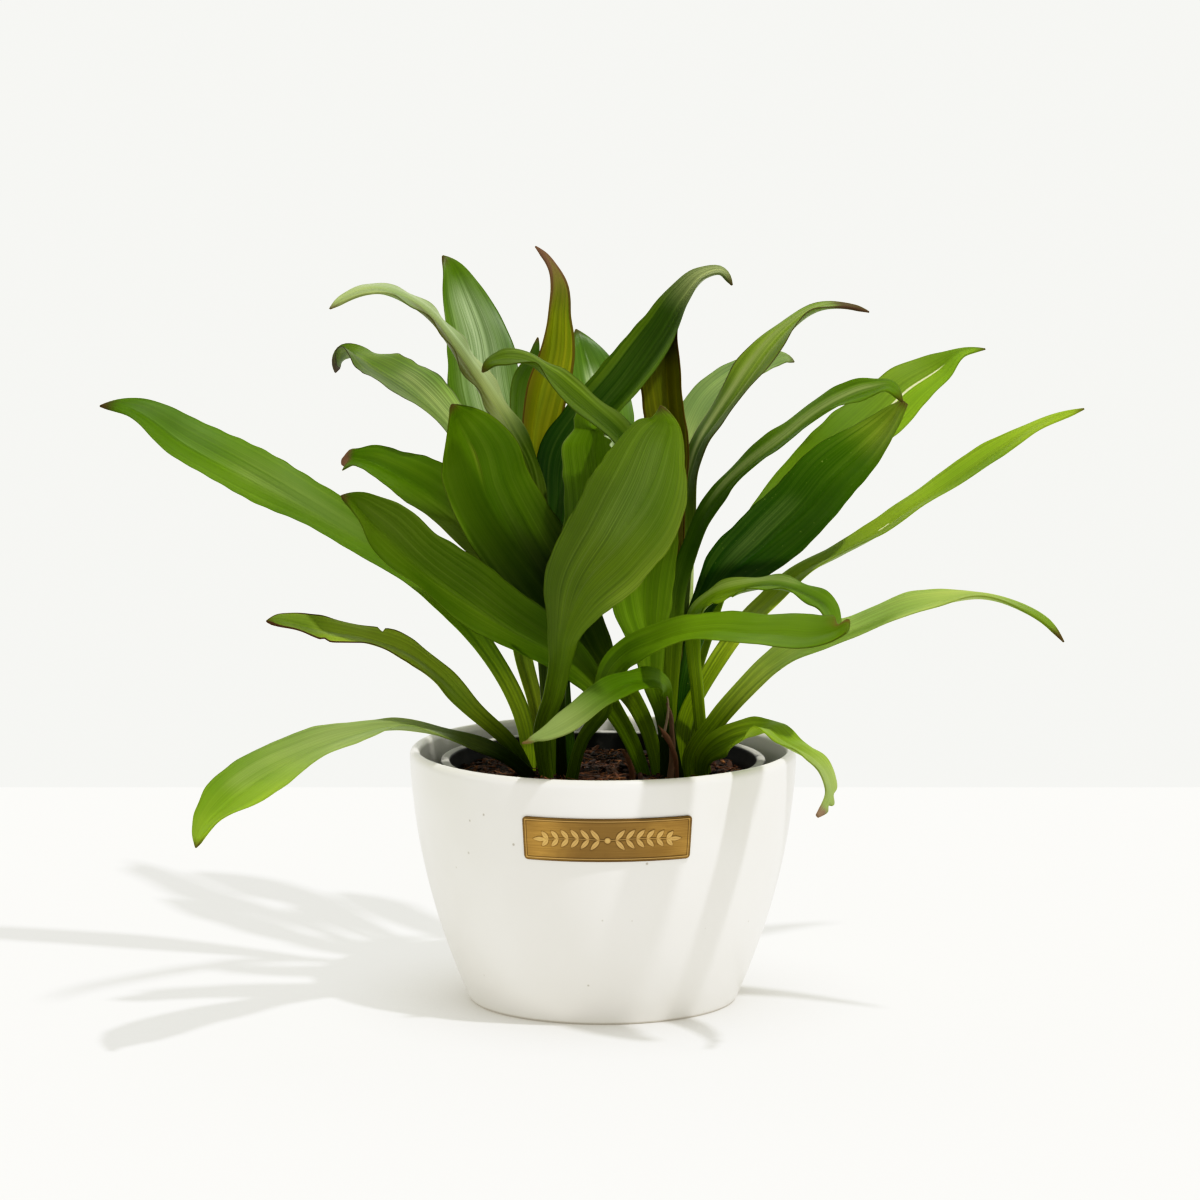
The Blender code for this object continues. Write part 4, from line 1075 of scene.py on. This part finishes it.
# runs: where along the leaf the stalk's colour turns into the middle's (from, to), and that into the tip's.
# halves: how much lighter the + half is than the - half, as painted light across the fold. bands: (across,
# half width, from, to, strength, colour), brushed lengthwise; most pale ones paint sheen and highlights, most
# dark ones paint shade, and the rust ones are the leaf's own colour. marks: (along, across, half length, half
# width), thin and pale, as scratches and slits are.
LOOKS = {
    "leaf_left_01": dict(tip_start=0.965, bands=[(-0.2, 0.8, 0.45, 0.78, 0.2, "silver")]),
    "leaf_left_02": dict(margin_strength=1.0, margin_width=0.6, bands=[
        (0.35, 0.35, 0.35, 0.95, 0.6, "mist"), (0.0, 2.0, 0.80, 1.06, 0.75, "ivy")]),
    "leaf_left_03": dict(bands=[(-0.35, 0.55, 0.38, 0.85, 0.35, "silver")], painted_half_light=0.06),
    "leaf_left_04": dict(tip_start=0.965, tip_blend=0.02, tip=(0.17, 0.08, 0.05), margin_strength=0.6,
                         gloss=0.04,
                         bands=[(-0.5, 0.4, 0.70, 0.95, 0.3, "apple")]),
    "leaf_left_05": dict(margin=(0.030, 0.014, 0.012), margin_width=0.4, margin_strength=0.8, tip_start=0.95,
                         tip=(0.05, 0.03, 0.02), ribs=0.30, lines=0.15, painted_half_light=-0.25, gloss=0.15,
                         bands=[(-0.35, 0.5, 0.40, 0.80, 0.45, "silver")]),
    "leaf_left_06": dict(margin_strength=0.3, runs=(0.46, 0.58, 0.60, 0.85), painted_half_light=-0.12, gloss=0.15,
                         bands=[(0.6, 1.1, 0.50, 0.84, 1.2, "umber"), (-0.75, 0.5, 0.50, 0.95, 0.7, "veil")]),
    "leaf_left_07": dict(shine=0.12, bands=[(-0.05, 1.0, 0.38, 0.97, 0.65, "veil")]),
    "leaf_left_09": dict(tip=(0.14, 0.070, 0.045), tip_start=0.84, tip_blend=0.14, streak=0.6,
                         margin=(0.085, 0.022, 0.010), margin_width=1.3, margin_strength=0.7,
                         bands=[(0.0, 2.0, 0.28, 0.62, 0.45, "rust"), (0.8, 0.5, 0.45, 0.97, 0.5, "rust"),
                                (-0.1, 0.2, 0.55, 0.92, 0.5, "pea")]),
    "leaf_left_10": dict(margin=(0.03, 0.014, 0.010), gloss=0.12,
                         bands=[(-0.9, 0.4, 0.55, 0.86, 0.7, "meadow"), (0.9, 0.35, 0.60, 0.90, 0.6, "grass"),
                                (0.0, 2.0, 0.84, 1.02, 0.95, "silver")]),
    "leaf_left_11": dict(glow=0.08, contrast=0.15, margin=(0.40, 0.42, 0.20), margin_width=0.2,
                         margin_strength=0.35),
    "leaf_left_12": dict(ribs=0.30, lines=0.13, streak=0.04, margin_strength=0.1, contrast=0.20, gloss=0.2,
                         painted_half_light=-0.10,
                         bands=[(0.1, 0.7, 0.60, 0.93, 0.35, "sage"), (-0.95, 0.45, 0.50, 0.97, 0.60, "lime"),
                                (0.8, 0.5, 0.35, 0.80, 0.4, "moss")]),
    "leaf_left_13": dict(tip_start=0.99, bands=[(0.9, 0.6, 0.90, 1.06, 1.2, "rust")], margin_strength=0.5),
    "leaf_right_01": dict(painted_half_light=0.12),
    "leaf_right_02": dict(runs=(0.12, 0.46, 0.52, 0.84), margin_strength=0.5, painted_half_light=-0.06, bands=[
        (0.55, 0.5, 0.66, 0.93, 0.3, "leaf"), (-0.5, 0.3, 0.55, 0.80, 0.5, "meadow"),
        (0.02, 0.05, 0.76, 0.92, 0.8, "lime"), (-0.04, 0.04, 0.76, 0.91, 0.6, "rust")]),
    "leaf_right_03": dict(tip_start=0.96, tip=(0.14, 0.08, 0.03), gloss=0.05, glow=0.22,
                          runs=(0.12, 0.40, 0.66, 0.88)),
    "leaf_right_04": dict(bands=[(0.7, 0.5, 0.40, 0.80, 0.4, "silver"),
                                 (-0.1, 0.5, 0.55, 0.94, 0.8, "pine")]),
    "leaf_right_05": dict(tip_start=0.95, tip=(0.20, 0.12, 0.08), runs=(0.15, 0.36, 0.5, 0.88)),
    "leaf_right_06": dict(glow=0.22, runs=(0.12, 0.52, 0.66, 0.95), tip_start=0.955,
                          bands=[(-0.5, 0.7, 0.36, 0.64, 0.9, "spring")]),
    "leaf_right_07": dict(runs=(0.12, 0.38, 0.50, 0.72), glow=0.24,
                          marks=[(0.60, 0.10, 0.012, 0.035), (0.625, -0.12, 0.016, 0.035)]),
    "leaf_right_08": dict(specks=0.35, bands=[(0.0, 2.0, 0.83, 1.20, 0.85, "lime"),
                                              (0.4, 0.35, 0.45, 0.72, 0.35, "sage")]),
    "leaf_right_09": dict(bands=[(0.35, 0.34, 0.50, 0.97, 0.50, "silver"),
                                 (-0.5, 0.45, 0.45, 0.90, 0.5, "pine")]),
    "leaf_right_10": dict(marks=[(0.835, 0.02, 0.085, 0.05)], painted_half_light=-0.18),
    "leaf_right_12": dict(margin=(0.045, 0.020, 0.012), margin_width=0.5, margin_strength=0.8, tip_start=0.92,
                          bands=[(0.4, 0.3, 0.48, 0.97, 0.55, "silver"),
                                 (-0.15, 0.2, 0.48, 0.95, 0.5, "silver"),
                                 (-0.75, 0.35, 0.35, 0.92, 0.6, "moss")]),
    "leaf_right_13": dict(tip_start=0.84, tip_blend=0.10, tip=(0.05, 0.022, 0.012), specks=0.4, streak=0.6,
                          margin=(0.085, 0.022, 0.010), margin_width=1.2, margin_strength=0.6),
    "leaf_right_14": dict(shine=0.15, bands=[(0.0, 0.55, 0.40, 0.93, 0.95, "veil")]),
    "leaf_right_15": dict(gloss=0.12, bands=[(-0.6, 0.35, 0.55, 0.95, 0.4, "apple")]),
}
print("leaves with looks of their own:", len(LOOKS))


# %% The leaf's layers
def grey(value):
    return (value, value, value)


class LeafFinish(Finish):
    """A leaf's material, with the masks that its layers share; a layer takes the colour below it."""

    def __init__(self, name):
        super().__init__(name + "_finish")
        self.look = {**COMMON, **FAMILIES[LEAVES[name][0]], **LOOKS.get(name, {})}
        self.shades = [GREENS[shade] for shade in SHADES[name].split()]
        self.seed = float(sum(map(ord, name)) % 97)
        self.v, self.s, self.edge = self.numbers("blade")
        self.vein, self.along, self.rib = self.numbers("veins")
        self.upper = self.number("face").ramp(-0.3, 0.3)
        self.fine = self.veined(1.9, 0.06, 0, 1)
        self.broad = self.veined(0.30, 0.08, 31, 1)
        self.ridges = self.noise(self.vector(self.v * 5, self.along * 0.08, self.seed), 1, 2)
        self.patch = self.noise(self.place(), 16, 2)
        self.stalky = self.s.ramp(0.42, 0.25)
        self.open_blade = self.s.ramp(0.12, 0.3) * self.s.ramp(1.0, 0.92)

    def veined(self, across, along, seed, detail):
        """Noise stretched along the veins; across and along say how fast it changes in each direction."""
        return self.noise(self.vector(self.vein * across, self.along * along, self.seed + seed), 1, detail)

    def ground(self):
        """The run of three colours, mottled, with one half lighter as painted light, and pale ridges on the
        stalk.
        """
        (stalk, middle, outer), look = self.shades, self.look
        runs, contrast = look["runs"], look["contrast"]
        colour = self.mix(self.s.ramp(runs[0], runs[1]), stalk, middle)
        colour = self.mix(self.s.ramp(runs[2], runs[3]), colour, outer)
        tone = (self.patch * 0.85 + self.broad * 0.2 - 0.02).ramp(0.25, 0.75)
        low = (1 - 1.3 * contrast, 1 - 0.8 * contrast, 1 - contrast)
        high = (1 + 1.2 * contrast, 1 + contrast, 1 + contrast)
        colour = self.times(colour, self.mix(tone, low, high))
        # painted light: one half of the blade lighter than the other, as light falls across the fold
        if look["painted_half_light"]:
            painted_half_shading = self.mix(self.v.ramp(-0.3, 0.3), grey(1 - look["painted_half_light"]), grey(1 + look["painted_half_light"]))
            colour = self.times(colour, painted_half_shading)
        ridge = self.mix(self.stalky, grey(1), (1.7, 1.6, 1.3))
        return self.times(colour, self.mix(self.ridges.ramp(0.3, 0.7), grey(1), ridge))

    def banded(self, colour):
        """Broad bands of other greens, brushed lengthwise: painted sheen, highlight and shade, and a few of
        the leaf's own colour.
        """
        brushed = (self.fine * 0.5 + self.broad * 0.8).ramp(0.40, 0.85) * 0.75 + 0.35
        # most pale bands are painted sheen and highlight, most dark ones painted shade; rust bands are the
        # leaf's own colour
        for across, half_width, begin, end, strength, shade in self.look["bands"]:
            band = abs((self.v - across) * (1 / half_width)).ramp(1.0, 0.1)
            band = band * self.s.ramp(begin, begin + 0.1) * self.s.ramp(end, end - 0.06)
            colour = self.mix((band * brushed * strength).at_most(1.0), colour, GREENS[shade])
        return colour

    def veined_over(self, colour):
        """Fine ribs darker and lighter, thin pale lines between them, and soft pale streaks."""
        look = self.look
        ribs = self.mix(self.fine.ramp(0.36, 0.64), grey(1 - look["ribs"]), grey(1 + look["ribs"]))
        colour = self.times(colour, ribs)
        thin = self.veined(2.3, 0.03, 57, 0).ramp(0.58, 0.70)
        colour = self.mix(thin * look["lines"] * self.open_blade, colour, look["pale"])
        streaks = (self.broad * 0.7 + self.patch * 0.5).ramp(0.52, 0.85) * look["streak"] * self.open_blade
        return self.mix(streaks, colour, look["pale"])

    def marked(self, colour):
        """A paler rib on the underside, then specks, scratches and slits."""
        look = self.look
        under = self.mix(self.rib.ramp(1.6, 0.4) * 0.12, colour, look["pale"])
        colour = self.mix(self.upper, under, colour)
        if look["specks"]:
            spots = self.noise(self.place(), 900, 1).ramp(0.74, 0.80)
            colour = self.mix(spots * look["specks"], colour, look["pale"])
        for place, side, length, width in look["marks"]:
            line = abs((self.s - place) * (1 / length)).ramp(1.0, 0.75)
            line = line * abs((self.v - side) * (1 / width)).ramp(1.0, 0.6)
            colour = self.mix(line, colour, PALE_LINE)
        return colour

    def dry_edge(self):
        """1 along the leaf's ragged margin, away from the stalk."""
        ragged = self.edge + (self.patch - 0.5) * 0.3
        width = self.look["margin_width"]
        return ragged.ramp(width + 0.15, width - 0.15) * self.s.ramp(0.2, 0.8)

    def dry_tip(self):
        """1 at the leaf's tip."""
        start = self.look["tip_start"]
        return (self.s + (self.broad - 0.5) * 0.04).ramp(start, start + self.look["tip_blend"])


def leaf_finish(name):
    """The layers one over another, then relief and gloss, and light that comes through the blade."""
    f = LeafFinish(name)
    look = f.look
    margin, tip = f.dry_edge(), f.dry_tip()
    colour = f.marked(f.veined_over(f.banded(f.ground())))
    colour = f.mix(margin * look["margin_strength"], colour, look["margin"])
    colour = f.mix(tip * 0.9, colour, look["tip"])
    height = f.broad * 0.5 + f.fine * 0.35 + f.ridges * f.stalky * 1.2
    skin = f.surface(
        Base_Color=colour, Roughness=look["rough"] + 0.12 * (f.broad - 0.5) + 0.25 * tip.at_least(margin),
        Normal=f.bump(height, 0.25 * MM, 0.7), IOR=1.45, Specular_IOR_Level=look["gloss"],
        Coat_Weight=look["shine"] * f.upper * f.s.ramp(0.3, 0.6), Coat_Roughness=0.34)
    light = f.node("ShaderNodeBsdfTranslucent", sockets={"Color": look["light"]})
    glow = look["glow"] * (1 - tip.at_least(margin * look["margin_strength"])) * f.s.ramp(0.05, 0.45)
    return f.done(f.node("ShaderNodeMixShader", sockets={0: glow, 1: skin, 2: light}))


# %% Make the leaves
for name in LEAVES:
    skin, values = leaf_skin(name)
    new_piece(name + "_blade", [skin], leaf_finish(name), [name], values)
print("leaves made:", len(LEAVES), "each", ALONG * ACROSS * 2 + 2, "points")

# %% [markdown]
# ## Dried sheaths
# Where old leaves dropped, papery brown strips of their bases still cling to the canes. Each is a narrow
# ribbon carried along a short curve, twisted a little, with a ragged upper end.

# %% Sheath strips
STRIPS = {  # points x, y, z in mm; half width in mm; turn in degrees at the two ends; how pale, from 0 to 1
    "sheath_a": ([(30, -31, 104), (31, -33, 123), (30, -35, 138), (28, -36, 146)], 1.7, (20, 55), 0.10),
    "sheath_b": ([(12, -38, 104), (13, -41, 112), (10, -44, 121), (8, -45, 124)], 1.2, (-30, 35), 0.05),
    "sheath_c": ([(33, -33, 104), (33, -36, 114), (30, -39, 126), (25, -41, 134)], 1.3, (60, -20), 0.05),
    "sheath_d": ([(27, -37, 128), (29, -39, 138), (29, -40, 146), (27, -41, 151)], 0.7, (10, 80), 0.25),
}


def strip_rings(points, half_width, turns):
    """A flat ribbon: the line plus width times v along a side vector that turns evenly from end to end."""
    rows = np.array(points, float) * MM
    sections, s = curve_through(np.column_stack([rows, np.zeros((len(rows), 2))]), 40)
    line = sections[:, :3]
    along = unit(np.gradient(line, axis=0))
    side = unit(np.cross(along, [0.2, 1.0, 0.1]))
    up = np.cross(side, along)
    turn = np.radians(turns[0] + (turns[1] - turns[0]) * s)[:, None]
    side, up = np.cos(turn) * side + np.sin(turn) * up, np.cos(turn) * up - np.sin(turn) * side
    v = np.linspace(-1, 1, 7)[None, :, None]
    width = half_width * MM * (1 - 0.75 * smoothstep(s, 0.75, 1) + 0.12 * np.sin(s * 17))[:, None, None]
    curl = 0.35 * width * v**2
    sheet = line[:, None] + width * v * side[:, None] + curl * up[:, None]
    lift = 0.22 * MM * up[:, None]
    return np.concatenate([sheet + lift, (sheet - lift)[:, ::-1]], 1)


def dried_sheath(name, paleness):
    """Papery brown with fine lengthwise fibres."""
    f = Finish(name)
    x, y, z = f.parts(f.place())
    fibre = f.noise(f.vector(x * 2200, y * 2200, z * 90), 1, 3, 0.6)
    brown = f.mix(fibre, (0.026, 0.007, 0.002), (0.115, 0.036, 0.009))
    colour = f.mix(paleness, brown, f.mix(fibre, (0.42, 0.36, 0.22), (0.72, 0.66, 0.48)))
    return f.done(f.surface(
        Base_Color=colour, Roughness=0.62 + 0.2 * fibre, Specular_IOR_Level=0.15,
        Normal=f.bump(fibre, 0.25 * MM)))


for name, (points, half_width, turns, paleness) in STRIPS.items():
    finish = dried_sheath(name + "_finish", paleness)
    new_piece(name, [closed_skin(strip_rings(points, half_width, turns))], finish)
print("sheath strips:", len(STRIPS))

# %% [markdown]
# ## Floor, light and camera
# The setting is plain: a pale floor that ends behind the plant, a white surround that fills the shadows, and
# one high sun-like lamp from the front right. A white sweep in a studio is lit on its own account, so the
# floor adds a little light of its own; that keeps its shadows soft.

# %% The floor
FLOOR_REACH = 5.0
FLOOR_BACK = 0.535  # the floor ends this far behind the plant
FLOOR_ALBEDO = 0.45
FLOOR_LIGHT = (0.441, 0.433, 0.398)
FLOOR_CREASE = (0.23, 0.215, 0.18)


def pale_floor():
    """Matt paper white, slightly uneven, with some light of its own, and less of it near other things."""
    f = Finish("pale_floor")
    grain = f.noise(f.place(), 9, 3)
    colour = f.mix(grain, (FLOOR_ALBEDO, FLOOR_ALBEDO, FLOOR_ALBEDO * 0.985),
                   (FLOOR_ALBEDO * 1.01, FLOOR_ALBEDO * 1.01, FLOOR_ALBEDO))
    near = f.node("ShaderNodeAmbientOcclusion", {"samples": 8}, {"Distance": 0.09}, out=1)
    glow = f.mix(near.ramp(0.30, 0.95), FLOOR_CREASE, FLOOR_LIGHT)
    return f.done(f.surface(
        Base_Color=colour, Roughness=0.9, Specular_IOR_Level=0.1, Emission_Color=glow, Emission_Strength=1.0))


corners = [(-FLOOR_REACH, -FLOOR_REACH, 0), (FLOOR_REACH, -FLOOR_REACH, 0),
           (FLOOR_REACH, FLOOR_BACK, 0), (-FLOOR_REACH, FLOOR_BACK, 0)]
mesh = bpy.data.meshes.new("floor")
mesh.from_pydata(corners, [], [(0, 1, 2, 3)])
mesh.materials.append(pale_floor())
floor = bpy.data.objects.new("floor", mesh)
bpy.context.scene.collection.objects.link(floor)
print("floor from", corners[0], "to", corners[2])

# %% The light
SURROUND = (0.930, 0.938, 0.880)
OVERHEAD = 0.50
LAMP_STRENGTH = 2.35
LAMP_WIDTH = math.radians(2.5)
LAMP_COLOUR = (1.0, 0.985, 0.96)
TOWARDS_LAMP = Vector((0.415, -0.35, 1.0))


def surround():
    """White walls and floor all round, brightest behind the plant and dimmer overhead and at the front."""
    f = Finish("white_surround", "worlds")
    x, y, z = f.parts(f.node("ShaderNodeTexCoord", out=0))
    front = y.ramp(0.6, -0.2)
    dim = front * z.ramp(0.10, 0.60).at_least(x.ramp(-0.1, 0.9) * z.ramp(-0.06, 0.0) * 0.7)
    colour = f.mix(dim, SURROUND, grey(OVERHEAD))
    background = f.node("ShaderNodeBackground", sockets={"Color": colour, "Strength": 1.0})
    return f.done(background, "ShaderNodeOutputWorld")


bpy.context.scene.world = surround()
lamp = bpy.data.lights.new("high_lamp", "SUN")
lamp.energy = LAMP_STRENGTH
lamp.angle = LAMP_WIDTH
lamp.color = LAMP_COLOUR
lamp_object = bpy.data.objects.new("high_lamp", lamp)
lamp_object.rotation_euler = TOWARDS_LAMP.to_track_quat("Z", "Y").to_euler()
bpy.context.scene.collection.objects.link(lamp_object)
print("lamp towards", tuple(TOWARDS_LAMP))

# %% The camera
LENS, SENSOR = 169.35, 36  # mm
CAMERA_PLACE = (-0.0014, -2.560, 0.5675)
CAMERA_DIP = 8.49  # degrees below level
# How bright a light amount is shown: a steeper middle, with soft ends.
TONES = [
    (0, 0), (0.004, 0.0014), (0.02, 0.0125), (0.08, 0.070),
    (0.25, 0.27), (0.50, 0.585), (0.75, 0.82), (1.0, 0.955),
]
camera_data = bpy.data.cameras.new("camera")
camera_data.lens = LENS
camera_data.sensor_width = SENSOR
camera = bpy.data.objects.new("camera", camera_data)
camera.location = CAMERA_PLACE
camera.rotation_euler = (math.radians(90 - CAMERA_DIP), 0, 0)
bpy.context.scene.collection.objects.link(camera)
bpy.context.scene.camera = camera
view = bpy.context.scene.view_settings
view.view_transform = "Standard"
view.use_curve_mapping = True
tones = view.curve_mapping
tones.use_clip = False
tone_curve = tones.curves[3]
for light, shown in TONES[1:-1]:
    tone_curve.points.new(light, shown)
tone_curve.points[-1].location = TONES[-1]
tones.update()
print("camera at", tuple(camera.location))
